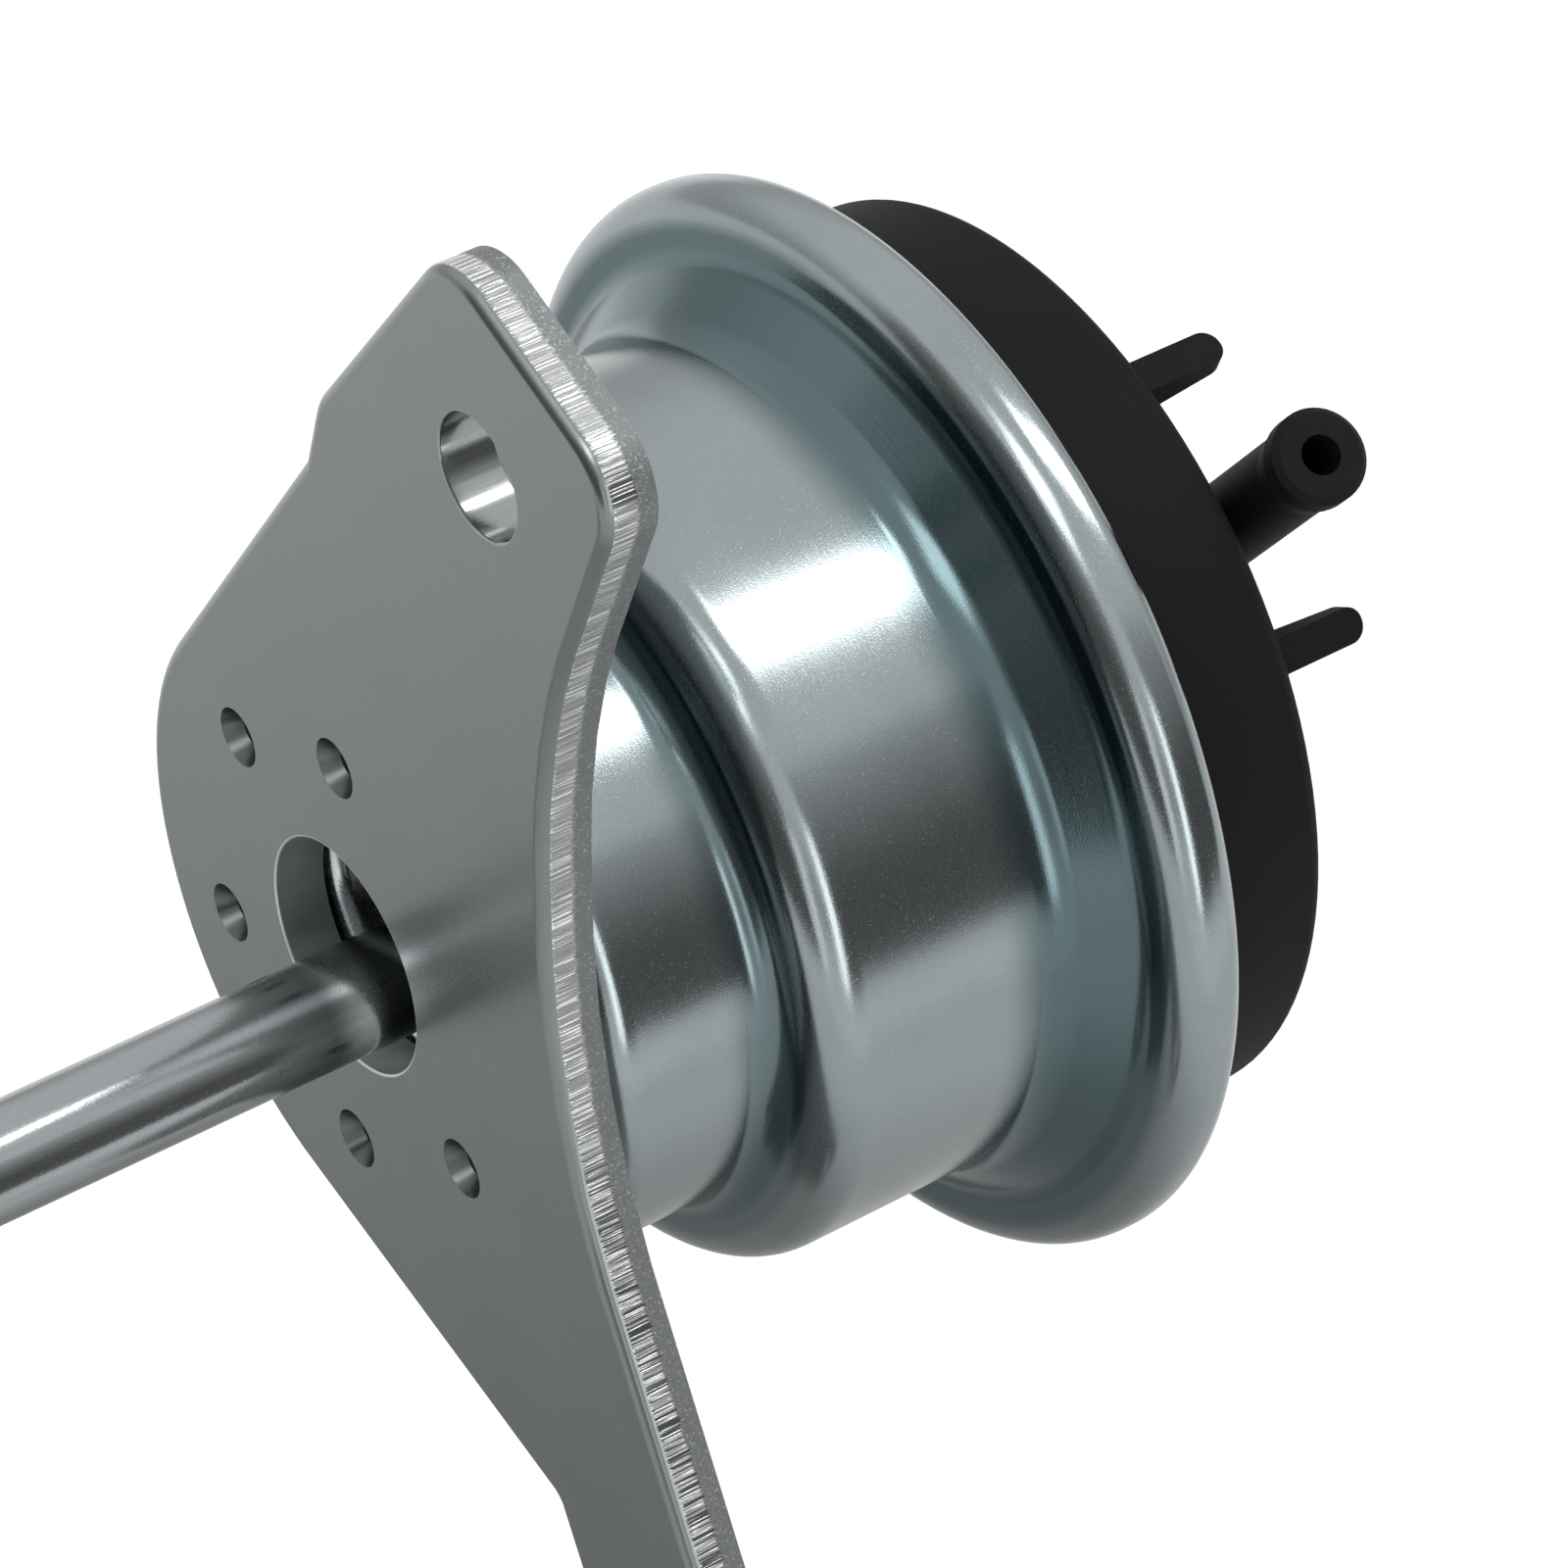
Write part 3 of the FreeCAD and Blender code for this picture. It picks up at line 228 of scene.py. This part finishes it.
def bracket_plate():
    """The plate's outline with its three holes, pressed out to its thickness and rounded in front."""
    ear_y, ear_z = at_angle(BOLT_REACH, EAR_ANGLE)
    arm_y, arm_z = at_angle(BOLT_REACH, ARM_ANGLE)
    sin_tilt, cos_tilt = math.sin(math.radians(ARM_TILT)), math.cos(math.radians(ARM_TILT))

    def arm_spot(back, side):
        return arm_y + back * sin_tilt + side * cos_tilt, arm_z + back * cos_tilt - side * sin_tilt

    def ear_spot(y, z, radius):
        return ear_y + y, ear_z + z, radius

    body_arc = [
        (*at_angle(BODY_RADIUS, BODY_ARC_FROM - BODY_ARC_SWEEP * step / BODY_ARC_STEPS), 0)
        for step in range(BODY_ARC_STEPS + 1)]
    corners = [
        *(ear_spot(*corner) for corner in EAR_FRONT),
        *body_arc,
        (*arm_spot(10.8, ARM_HALF_WIDTH), 1.0),
        (*arm_spot(ARM_END, ARM_HALF_WIDTH), ARM_END_ROUND),
        (*arm_spot(ARM_END, -ARM_HALF_WIDTH), ARM_END_ROUND),
        (*arm_spot(35.45, -ARM_HALF_WIDTH), 40.0),
        SIDE_CORNER,
        ear_spot(*EAR_BACK),
    ]
    spots = [Vector((0, y, z)) * MM for y, z, _ in corners]
    piece = draw("bracket_plate", spots, [radius * MM for _, _, radius in corners])
    for y, z, radius in ((0, 0, ROD_HOLE), (ear_y, ear_z, BOLT_HOLE), (arm_y, arm_z, BOLT_HOLE)):
        bpy.ops.mesh.primitive_circle_add(
            vertices=72, radius=radius * MM, location=(0, y * MM, z * MM), rotation=(0, math.pi / 2, 0))
    bpy.ops.mesh.select_all(action="SELECT")
    bpy.ops.mesh.remove_doubles(threshold=1e-7)
    bpy.ops.mesh.select_all(action="SELECT")
    bpy.ops.mesh.fill(use_beauty=True)
    bpy.ops.mesh.select_all(action="SELECT")
    bpy.ops.mesh.dissolve_limited(angle_limit=math.radians(0.05))
    bpy.ops.mesh.select_all(action="SELECT")
    bpy.ops.mesh.extrude_region_move(TRANSFORM_OT_translate={"value": (PLATE * MM, 0, 0)})
    bpy.ops.mesh.select_all(action="SELECT")
    bpy.ops.mesh.normals_make_consistent(inside=False)

    def front_corner(edge):
        in_front = all(abs(vert.co.x) < 1e-6 for vert in edge.verts)
        return in_front and len(edge.link_faces) == 2 and edge.calc_face_angle(0) > 1

    def bolt_rim(edge):
        middle = (edge.verts[0].co + edge.verts[1].co) / 2 / MM
        return any(
            math.hypot(middle.y - y, middle.z - z) < BOLT_HOLE + 0.3
            for y, z in ((ear_y, ear_z), (arm_y, arm_z)))

    def rod_rim(edge):
        return edge.verts[0].co.yz.length < (ROD_HOLE + 0.25) * MM

    pick(piece, lambda edge: front_corner(edge) and not bolt_rim(edge) and not rod_rim(edge), "edges")
    bpy.ops.mesh.bevel(
        offset=FRONT_ROUND * MM, segments=6, profile=0.5, affect="EDGES", clamp_overlap=False)
    pick(piece, lambda edge: front_corner(edge) and (bolt_rim(edge) or rod_rim(edge)), "edges")
    bpy.ops.mesh.bevel(
        offset=HOLE_ROUND * MM, segments=3, profile=0.5, affect="EDGES", clamp_overlap=False)
    bpy.ops.object.mode_set(mode="OBJECT")
    return piece


def cut_away(piece, cutter):
    """Takes one mesh out of another and deletes it."""
    take(piece)
    bpy.ops.object.modifier_add(type="BOOLEAN")
    cut = piece.modifiers[-1]
    cut.operation = "DIFFERENCE"
    cut.solver = "EXACT"
    cut.object = cutter
    bpy.ops.object.modifier_apply(modifier=cut.name)
    bpy.data.objects.remove(cutter)


WELD_ANGLES = (41.0, 90.0, 213.5, 269.0, 336.0)
WELD_CIRCLE = 12.825
MARK_FLOOR = 1.3
MARK_MOUTH = 1.92
MARK_DEPTH = 1.1
MARK_ROUND = 0.22
CUTTER_DEPTH = 1.7
BUMP_RADIUS = 1.7
BUMP_DEPTH = 0.4


def punch_marks(piece):
    """Five blind tapered dents round the hole, and the weld bumps that they raise behind."""
    for angle in WELD_ANGLES:
        y, z = at_angle(WELD_CIRCLE, angle)
        deselect()
        bpy.ops.mesh.primitive_cone_add(
            vertices=40, radius1=MARK_FLOOR * MM, radius2=MARK_MOUTH * MM, depth=CUTTER_DEPTH * MM,
            location=((MARK_DEPTH - CUTTER_DEPTH / 2) * MM, y * MM, z * MM),
            rotation=(0, -math.pi / 2, 0))
        cutter = bpy.context.object
        bpy.ops.object.transform_apply(location=True, rotation=True, scale=True)
        cut_away(piece, cutter)
    take(piece)
    bpy.ops.object.mode_set(mode="EDIT")
    spots = [Vector((0, *at_angle(WELD_CIRCLE, angle))) * MM for angle in WELD_ANGLES]

    def mark_corner(edge):
        middle = (edge.verts[0].co + edge.verts[1].co) / 2
        near_mark = any((middle.yz - spot.yz).length < 2.1 * MM for spot in spots)
        return near_mark and len(edge.link_faces) == 2 and edge.calc_face_angle(0) > 0.6

    pick(piece, mark_corner, "edges")
    bpy.ops.mesh.bevel(
        offset=MARK_ROUND * MM, segments=4, profile=0.5, affect="EDGES", clamp_overlap=True)
    for spot in spots:
        bpy.ops.mesh.primitive_cylinder_add(
            vertices=32, radius=BUMP_RADIUS * MM, depth=BUMP_DEPTH * MM,
            location=((PLATE + 0.1) * MM, spot.y, spot.z), rotation=(0, math.pi / 2, 0))
    bpy.ops.object.mode_set(mode="OBJECT")
    return piece


# Return spring: a copy of its solid


def coil_spring():
    """A copy of the spring's solid, with its loose triangles joined."""
    piece = bpy.data.objects.new("coil_spring", NODES["return_spring"].data.copy())
    bpy.context.scene.collection.objects.link(piece)
    take(piece)
    bpy.ops.object.mode_set(mode="EDIT")
    return close_up(piece)


# Shader maths

class Value:
    """A node socket that takes part in sums."""

    def __init__(self, tree, socket):
        self.tree = tree
        self.socket = socket

    def maths(self, operation, *others):
        node = self.tree.nodes.new("ShaderNodeMath")
        node.operation = operation
        for place, other in zip(node.inputs, (self, *others)):
            feed(self.tree, place, other)
        return Value(self.tree, node.outputs[0])

    def __add__(self, other):
        return self.maths("ADD", other)

    def __radd__(self, other):
        return self.maths("ADD", other)

    def __sub__(self, other):
        return self.maths("SUBTRACT", other)

    def __rsub__(self, other):
        return self.maths("MULTIPLY", -1).maths("ADD", other)

    def __mul__(self, other):
        return self.maths("MULTIPLY", other)

    def __rmul__(self, other):
        return self.maths("MULTIPLY", other)

    def __pow__(self, other):
        return self.maths("POWER", other)

    def between(self, low, high):
        """0 below low and 1 above high, with a soft step."""
        node = self.tree.nodes.new("ShaderNodeMapRange")
        node.interpolation_type = "SMOOTHSTEP"
        feed(self.tree, node.inputs["Value"], self)
        feed(self.tree, node.inputs["From Min"], low)
        feed(self.tree, node.inputs["From Max"], high)
        return Value(self.tree, node.outputs["Result"])


def feed(tree, place, value):
    """Links a value to a socket, or sets the socket to a number or colour."""
    if isinstance(value, Value):
        tree.links.new(value.socket, place)
    else:
        place.default_value = value


class Finish:
    """A material or world under construction."""

    def __init__(self, name, block=None):
        self.block = block or bpy.data.materials.new(name)
        self.block.use_nodes = True
        self.tree = self.block.node_tree
        self.tree.nodes.clear()

    def node(self, kind, output=0, settings=None, **values):
        node = self.tree.nodes.new("ShaderNode" + kind)
        for name, setting in (settings or {}).items():
            setattr(node, name, setting)
        for name, value in values.items():
            feed(self.tree, node.inputs[name.replace("_", " ")], value)
        return Value(self.tree, node.outputs[output])

    def place(self):
        return self.node("TexCoord", "Object")

    def parts(self, vector):
        node = self.tree.nodes.new("ShaderNodeSeparateXYZ")
        feed(self.tree, node.inputs[0], vector)
        return [Value(self.tree, socket) for socket in node.outputs]

    def vector(self, x, y, z):
        node = self.tree.nodes.new("ShaderNodeCombineXYZ")
        for place, value in zip(node.inputs, (x, y, z)):
            feed(self.tree, place, value)
        return Value(self.tree, node.outputs[0])

    def noise(self, where, scale, detail, roughness):
        return self.node("TexNoise", "Fac", Vector=where, Scale=scale, Detail=detail, Roughness=roughness)

    def mixed(self, mask, first, second):
        """A colour between two, where the mask is 0 and 1."""
        node = self.tree.nodes.new("ShaderNodeMix")
        node.data_type = "RGBA"
        for name, value in (("Factor_Float", mask), ("A_Color", first), ("B_Color", second)):
            place = next(item for item in node.inputs if item.identifier == name)
            feed(self.tree, place, value)
        return Value(self.tree, next(item for item in node.outputs if item.identifier == "Result_Color"))

    def bump(self, height, strength, distance):
        return self.node("Bump", Height=height, Strength=strength, Distance=distance)

    def close(self, shader):
        output = self.tree.nodes.new("ShaderNodeOutputMaterial")
        self.tree.links.new(shader.socket, output.inputs["Surface"])
        return self.block

    def surface(self, **values):
        return self.close(self.node("BsdfPrincipled", **values))


def tint(color, share=1.0):
    """A colour, or a share of it, as a socket takes it."""
    return (*(part * share for part in color), 1)


ZINC = (0.285, 0.322, 0.330)
ZINC_CRYSTAL = (0.75, 0.80, 0.80)
# Painted light and painted shade on the can: pale in the well round the rod, dark bluish in its hollows
ZINC_PAINTED_WELL_LIGHT = (0.78, 0.82, 0.82)
ZINC_PAINTED_HOLLOW_SHADE = (0.072, 0.120, 0.130)
PLATE_DARK = (0.200, 0.220, 0.217)
PLATE_PALE = (0.235, 0.255, 0.252)
SCORE_DARK = (0.30, 0.31, 0.31)
SCORE_PALE = (0.80, 0.82, 0.81)
BREAK_DARK = (0.20, 0.21, 0.21)
BREAK_PALE = (0.52, 0.54, 0.53)
# Painted light: the rod hole's wall is paler than the bolt holes' walls of the same punched steel
ROD_HOLE_WALL_PAINTED_LIGHT = (0.66, 0.69, 0.69)
BOLT_HOLE_WALL = (0.33, 0.35, 0.35)
# Painted shade: the weld marks' dent walls are coloured dark
MARK_WALL_PAINTED_SHADE = (0.11, 0.12, 0.12)
ROD_DARK = (0.27, 0.285, 0.29)
ROD_PALE = (0.34, 0.36, 0.37)
ROD_DARK_END = (0.13, 0.14, 0.145)
ROD_PALE_BAND = (0.58, 0.60, 0.61)
PLASTIC_DARK = (0.006, 0.006, 0.0063)
PLASTIC_PALE = (0.009, 0.009, 0.0093)
RUBBER_DARK = (0.012, 0.012, 0.012)
RUBBER_PALE = (0.03, 0.03, 0.03)
BRONZE = (0.40, 0.30, 0.19)
SPRING_STEEL = (0.3, 0.31, 0.33)
ALUMINIUM = (0.74, 0.75, 0.76)


def zinc(name, marks, painted_light_and_shade=False):
    """Zinc plate with fine marks round the axis and a crystal sparkle.

    For the can, the hollows before the rim and the shoulder are painted shade, dark and bluish, and the
    well round the rod is painted light, pale. Both are colours set by place after the photograph.
    """
    finish = Finish(name)
    x, y, z = finish.parts(finish.place())
    radius = (y * y + z * z) ** 0.5
    lines = finish.noise(finish.vector(x * 9000, y * 260, z * 260), 1.0, 4, 0.6)
    grain = finish.noise(finish.place(), 10500, 2, 0.6)
    sparkle = grain.between(0.62, 0.72)
    cloud = finish.noise(finish.place(), 90, 3, 0.5)
    tone = finish.mixed(cloud.between(0.35, 0.7), tint(ZINC, 0.93), tint(ZINC))
    tone = finish.mixed(sparkle * 0.28, tone, tint(ZINC_CRYSTAL))
    if painted_light_and_shade:
        # Painted shade: a dark bluish colour in the hollows before the rim and before the shoulder
        painted_shade_before_rim = x.between(0.0248, 0.0282) * (1 - x.between(0.0325, 0.0338))
        painted_shade_before_rim = painted_shade_before_rim * (1 - radius.between(0.0288, 0.0300))
        painted_shade_before_shoulder = x.between(0.0105, 0.0130) * (1 - x.between(0.0146, 0.0162))
        painted_shade_before_shoulder = painted_shade_before_shoulder * (1 - radius.between(0.0215, 0.0228))
        # Painted light: the well round the rod is coloured pale
        well = 1 - radius.between(0.0068, 0.0076)
        tone = finish.mixed(well, tone, tint(ZINC_PAINTED_WELL_LIGHT))
        tone = finish.mixed((painted_shade_before_rim + painted_shade_before_shoulder * 0.8) * 0.85, tone, tint(ZINC_PAINTED_HOLLOW_SHADE))
    return finish.surface(
        Base_Color=tone,
        Metallic=1.0,
        Roughness=0.17 + (lines - 0.5) * 0.10 + (cloud - 0.5) * 0.08 + sparkle * 0.22,
        Normal=finish.bump(lines * 0.6 + grain * 0.8, marks, 0.000011))


def plate_face():
    """Zinc on rolled sheet: level, with a fine grain and faint rolling lines."""
    finish = Finish("plate_zinc")
    x, y, z = finish.parts(finish.place())
    grain = finish.noise(finish.place(), 6500, 3, 0.6)
    rolled = finish.noise(finish.vector(x * 900, y * 300, z * 5200), 1.0, 3, 0.6)
    cloud = finish.noise(finish.place(), 120, 3, 0.5)
    tone = cloud * 0.7 + rolled * 0.3
    return finish.surface(
        Base_Color=finish.mixed(tone, tint(PLATE_DARK), tint(PLATE_PALE)),
        Metallic=1.0,
        Roughness=0.27 + (cloud - 0.5) * 0.08 + (grain - 0.5) * 0.06,
        Normal=finish.bump(grain * 0.4 + rolled * 0.6, 0.15, 0.000004))


def plate_edge():
    """Sheared edge: a burnished band scored across, then the rougher break."""
    finish = Finish("plate_sheared_edge")
    x, y, z = finish.parts(finish.place())
    scores = finish.noise(finish.vector(x * 150, y * 10500, z * 10500), 1.0, 1, 0.4)
    ridge = scores.between(0.44, 0.64)
    broken = finish.noise(finish.place(), 6000, 4, 0.75)
    glint = broken.between(0.55, 0.68)
    back = (x + (scores - 0.5) * 0.0007).between(0.0018, 0.0020)
    height = ridge * (1 - back) + broken * back * 1.6 - back * 0.6
    burnished = finish.mixed(ridge, tint(SCORE_DARK), tint(SCORE_PALE))
    torn = finish.mixed(glint, tint(BREAK_DARK), tint(BREAK_PALE))
    return finish.surface(
        Base_Color=finish.mixed(back, burnished, torn),
        Metallic=1.0,
        Roughness=0.26 + back * 0.22 + (scores - 0.5) * 0.2,
        Normal=finish.bump(height, 0.8, 0.00004))


def punched_wall(name, color, rough):
    """The wall of a punched hole or mark: scored along the punch's way."""
    finish = Finish(name)
    x, y, z = finish.parts(finish.place())
    scores = finish.noise(finish.vector(x * 200, y * 3800, z * 3800), 1.0, 2, 0.5)
    return finish.surface(
        Base_Color=finish.mixed(scores, tint(color, 0.8), tint(color)),
        Metallic=1.0,
        Roughness=rough + (scores - 0.5) * 0.15,
        Normal=finish.bump(scores, 0.4, 0.00001))


def rod_steel():
    """Bright drawn steel. Its dark end and pale band at the plate are colours that imitate reflections."""
    finish = Finish("rod_steel")
    x, y, z = finish.parts(finish.place())
    lines = finish.noise(finish.vector(x * 250, y * 5000, z * 5000), 1.0, 3, 0.6)
    grain = finish.noise(finish.place(), 6000, 2, 0.6)
    dark_end = x.between(-0.0095, -0.0015)
    pale_band = x.between(-0.0036, -0.0012) * (1 - x.between(-0.0011, 0.0002))
    tone = finish.mixed(lines, tint(ROD_DARK), tint(ROD_PALE))
    tone = finish.mixed(dark_end, tone, tint(ROD_DARK_END))
    return finish.surface(
        Base_Color=finish.mixed(pale_band, tone, tint(ROD_PALE_BAND)),
        Metallic=1.0,
        Roughness=0.17 + (lines - 0.5) * 0.06 + grain.between(0.6, 0.72) * 0.15,
        Normal=finish.bump(lines * 0.4 + grain, 0.5, 0.000006))


def black_plastic():
    """Moulded plastic, matt and finely grained."""
    finish = Finish("cap_plastic")
    grain = finish.noise(finish.place(), 5200, 3, 0.6)
    return finish.surface(
        Base_Color=finish.mixed(grain, tint(PLASTIC_DARK), tint(PLASTIC_PALE)),
        Roughness=0.6 + (grain - 0.5) * 0.2,
        IOR=1.17,
        Normal=finish.bump(grain, 0.4, 0.00001))


def metal(name, color, rough):
    """Plain metal with drawing lines along the axis."""
    finish = Finish(name)
    x, y, z = finish.parts(finish.place())
    lines = finish.noise(finish.vector(x * 250, y * 5000, z * 5000), 1.0, 3, 0.6)
    return finish.surface(
        Base_Color=finish.mixed(lines, tint(color, 0.9), tint(color)),
        Metallic=1.0,
        Roughness=rough + (lines - 0.5) * 0.12,
        Normal=finish.bump(lines, 0.4, 0.000006))


def rubber():
    finish = Finish("rubber_black")
    grain = finish.noise(finish.place(), 3000, 3, 0.6)
    return finish.surface(
        Base_Color=finish.mixed(grain, tint(RUBBER_DARK), tint(RUBBER_PALE)),
        Roughness=0.7 + (grain - 0.5) * 0.2,
        Normal=finish.bump(grain, 0.3, 0.00002))


# The object

can = can_shell()
bracket = punch_marks(bracket_plate())
shade(bracket, 25)
spring = coil_spring()

zinc_plate = zinc("can_zinc", marks=0.5, painted_light_and_shade=True)
plate_finishes = [
    # The rod hole's pale wall is painted light
    plate_face(), plate_edge(), punched_wall("rod_hole_painted_light", ROD_HOLE_WALL_PAINTED_LIGHT, 0.4),
    punched_wall("bolt_hole", BOLT_HOLE_WALL, 0.17), punched_wall("weld_mark_painted_shade", MARK_WALL_PAINTED_SHADE, 0.3)]
FACE, EDGE, ROD_WALL_PAINTED_LIGHT, BOLT_WALL, MARK_PAINTED_SHADE = range(5)
bright = rod_steel()
plated = zinc("fitting_zinc", marks=0.3)
bronze = metal("bronze", BRONZE, 0.35)
spring_steel = metal("spring_steel", SPRING_STEEL, 0.3)
aluminium = metal("pressed_aluminium", ALUMINIUM, 0.35)
plastic = black_plastic()
black_rubber = rubber()

can.data.materials.append(zinc_plate)
spring.data.materials.clear()
spring.data.materials.append(spring_steel)
bracket.data.materials.clear()
for finish in plate_finishes:
    bracket.data.materials.append(finish)
weld_spots = [Vector(at_angle(WELD_CIRCLE, angle)) * MM for angle in WELD_ANGLES]
bolt_spots = [Vector(at_angle(BOLT_REACH, angle)) * MM for angle in (EAR_ANGLE, ARM_ANGLE)]
for polygon in bracket.data.polygons:
    middle = polygon.center
    if polygon.normal.x < -0.97 or polygon.normal.x > 0.97 and middle.x > 2 * MM:
        continue
    if any((middle.yz - spot).length < 2.2 * MM for spot in weld_spots):
        # The dents' walls take the dark colour of painted shade
        polygon.material_index = MARK_PAINTED_SHADE if middle.x < 2 * MM else FACE
    elif middle.yz.length < 8 * MM:
        polygon.material_index = ROD_WALL_PAINTED_LIGHT
    elif any((middle.yz - spot).length < (BOLT_HOLE + 0.3) * MM for spot in bolt_spots):
        polygon.material_index = BOLT_WALL
    elif abs(polygon.normal.x) < 0.3 and middle.x > 0.3 * MM:
        polygon.material_index = EDGE

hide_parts("can")
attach(can, "housing")
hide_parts("bracket")
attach(bracket, "housing")
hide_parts("return_spring")
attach(spring, "housing")
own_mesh(spring)

NODE_FINISHES = {
    "cap": plastic, "guide_bush": bronze, "rod_seal": black_rubber, "seal_holder": plated,
    "spring_seat": plated, "diaphragm": black_rubber, "piston": aluminium,
    "rod_washer": bright, "backing_plate": plated, "tenon_seal": black_rubber, "rivet_washer": bright,
    "lock_nut": plated, "rod_end": plated, "eye_liner": bronze, "rod": bright,
}
for name, finish in NODE_FINISHES.items():
    slots = NODES[name].data.materials
    slots.clear()
    slots.append(finish)


# Camera, at the photograph's angle

LENS = 157.5
SENSOR = 36
SIGHT = Vector((0.44729, 0.62333, -0.64142))
RIGHT = Vector((0.81249, -0.58302, 0.0))
CAMERA_PLACE = Vector((-138.82, -232.98, 237.71)) * MM


def make_camera():
    camera = bpy.data.objects.new("camera", bpy.data.cameras.new("camera"))
    bpy.context.scene.collection.objects.link(camera)
    up = RIGHT.cross(SIGHT)
    turn = Matrix((RIGHT, up, -SIGHT)).transposed()
    camera.matrix_world = Matrix.Translation(CAMERA_PLACE) @ turn.to_4x4()
    camera.data.lens = LENS
    camera.data.sensor_width = SENSOR
    camera.data.clip_start = 0.01
    camera.data.clip_end = 20
    bpy.context.scene.camera = camera


# Studio

CAN_MIDDLE = Vector((15, 0, 0)) * MM
LAMP_DISTANCE = 0.6
FLOOR_LEVEL = -0.22
CARD_HEIGHT = 0.96
UPRIGHT = math.pi / 2
TABLE_PLACE = Vector((-0.03, 0.07, FLOOR_LEVEL + 0.002))


def lamp(name, toward, width, height, power):
    """A soft box that looks at the object from a direction."""
    direction = Vector(toward).normalized()
    data = bpy.data.lights.new(name, "AREA")
    data.shape = "RECTANGLE"
    data.size = width
    data.size_y = height
    data.energy = power
    light = bpy.data.objects.new(name, data)
    bpy.context.scene.collection.objects.link(light)
    light.location = CAN_MIDDLE + direction * LAMP_DISTANCE
    light.rotation_mode = "QUATERNION"
    light.rotation_quaternion = direction.to_track_quat("Z", "X")


def card(name, place, turn, width, height, tone):
    """A card beside the object. Only reflections show it. Its tone is plain or worked out over it."""
    deselect()
    bpy.ops.mesh.primitive_plane_add(size=1, location=place, rotation=turn)
    plane = bpy.context.object
    plane.name = name
    plane.scale = (width, height, 1)
    bpy.ops.object.transform_apply(location=True, rotation=True, scale=True)
    finish = Finish(name)
    if callable(tone):
        grey = tone(*finish.parts(finish.place()))
        glow = finish.node("Emission", Color=finish.vector(grey, grey, grey), Strength=1.0)
    else:
        glow = finish.node("Emission", Color=tint((1, 1, 1)), Strength=tone)
    plane.data.materials.append(finish.close(glow))
    plane.visible_camera = False
    plane.visible_diffuse = False
    plane.visible_shadow = False
    return plane


def studio():
    """A white floor under a pale sky, two soft boxes, and cards that only reflections show.

    The table card hides the white floor from the metal and carries a painted shadow under the object.
    """
    world = bpy.data.worlds.new("studio")
    bpy.context.scene.world = world
    sky = Finish("studio", world)
    x, y, z = sky.parts(sky.node("TexCoord", "Generated"))
    level = 0.66 + z.between(0.05, 0.6) * 0.42
    shader = sky.node("Background", Color=sky.vector(level, level, level), Strength=1.0)
    output = sky.tree.nodes.new("ShaderNodeOutputWorld")
    sky.tree.links.new(shader.socket, output.inputs["Surface"])

    deselect()
    bpy.ops.mesh.primitive_plane_add(size=12, location=(0, 0, FLOOR_LEVEL))
    floor = bpy.context.object
    floor.name = "studio_floor"
    paper = Finish("studio_paper")
    floor.data.materials.append(paper.close(paper.node("BsdfDiffuse", Color=tint((0.98, 0.98, 0.98)))))

    def table_painted_shadow(x, y, z):
        """Painted shadow: darker under the object."""
        away = ((x - TABLE_PLACE.x) ** 2 + (y - TABLE_PLACE.y) ** 2) ** 0.5
        return 0.34 + away.between(0.04, 0.34) * 0.62

    front = card(
        "front_card", (0.45, -0.84, 0.26), (UPRIGHT, 0, 0), 1.2, CARD_HEIGHT,
        lambda x, y, z: 0.16 + z.between(0.1, 0.75) * 0.5)
    strip = card("front_strip", (-0.16, -0.83, 0.11), (UPRIGHT, 0, 0), 0.17, 0.62, 3.4)
    corner = card(
        "corner_strip", (-0.62, -0.66, 0.06), (UPRIGHT, 0, math.radians(-43)), 0.16, 0.5, 1.8)
    side = card(
        "side_card", (-0.84, -0.1, 0.26), (UPRIGHT, 0, math.pi / 2), 1.4, CARD_HEIGHT,
        lambda x, y, z: 0.16 + z.between(0.1, 0.75) * 0.35)
    table = card("table_painted_shadow_card", TABLE_PLACE, (0, 0, 0), 0.9, 0.9, table_painted_shadow)

    lamp("top_box", (0.46, -0.22, 0.86), 0.32, 0.13, 0.9)
    lamp("left_box", (-0.46, -0.26, 0.84), 0.24, 0.24, 0.62)
    bpy.context.scene.view_settings.view_transform = "Standard"


make_camera()
studio()
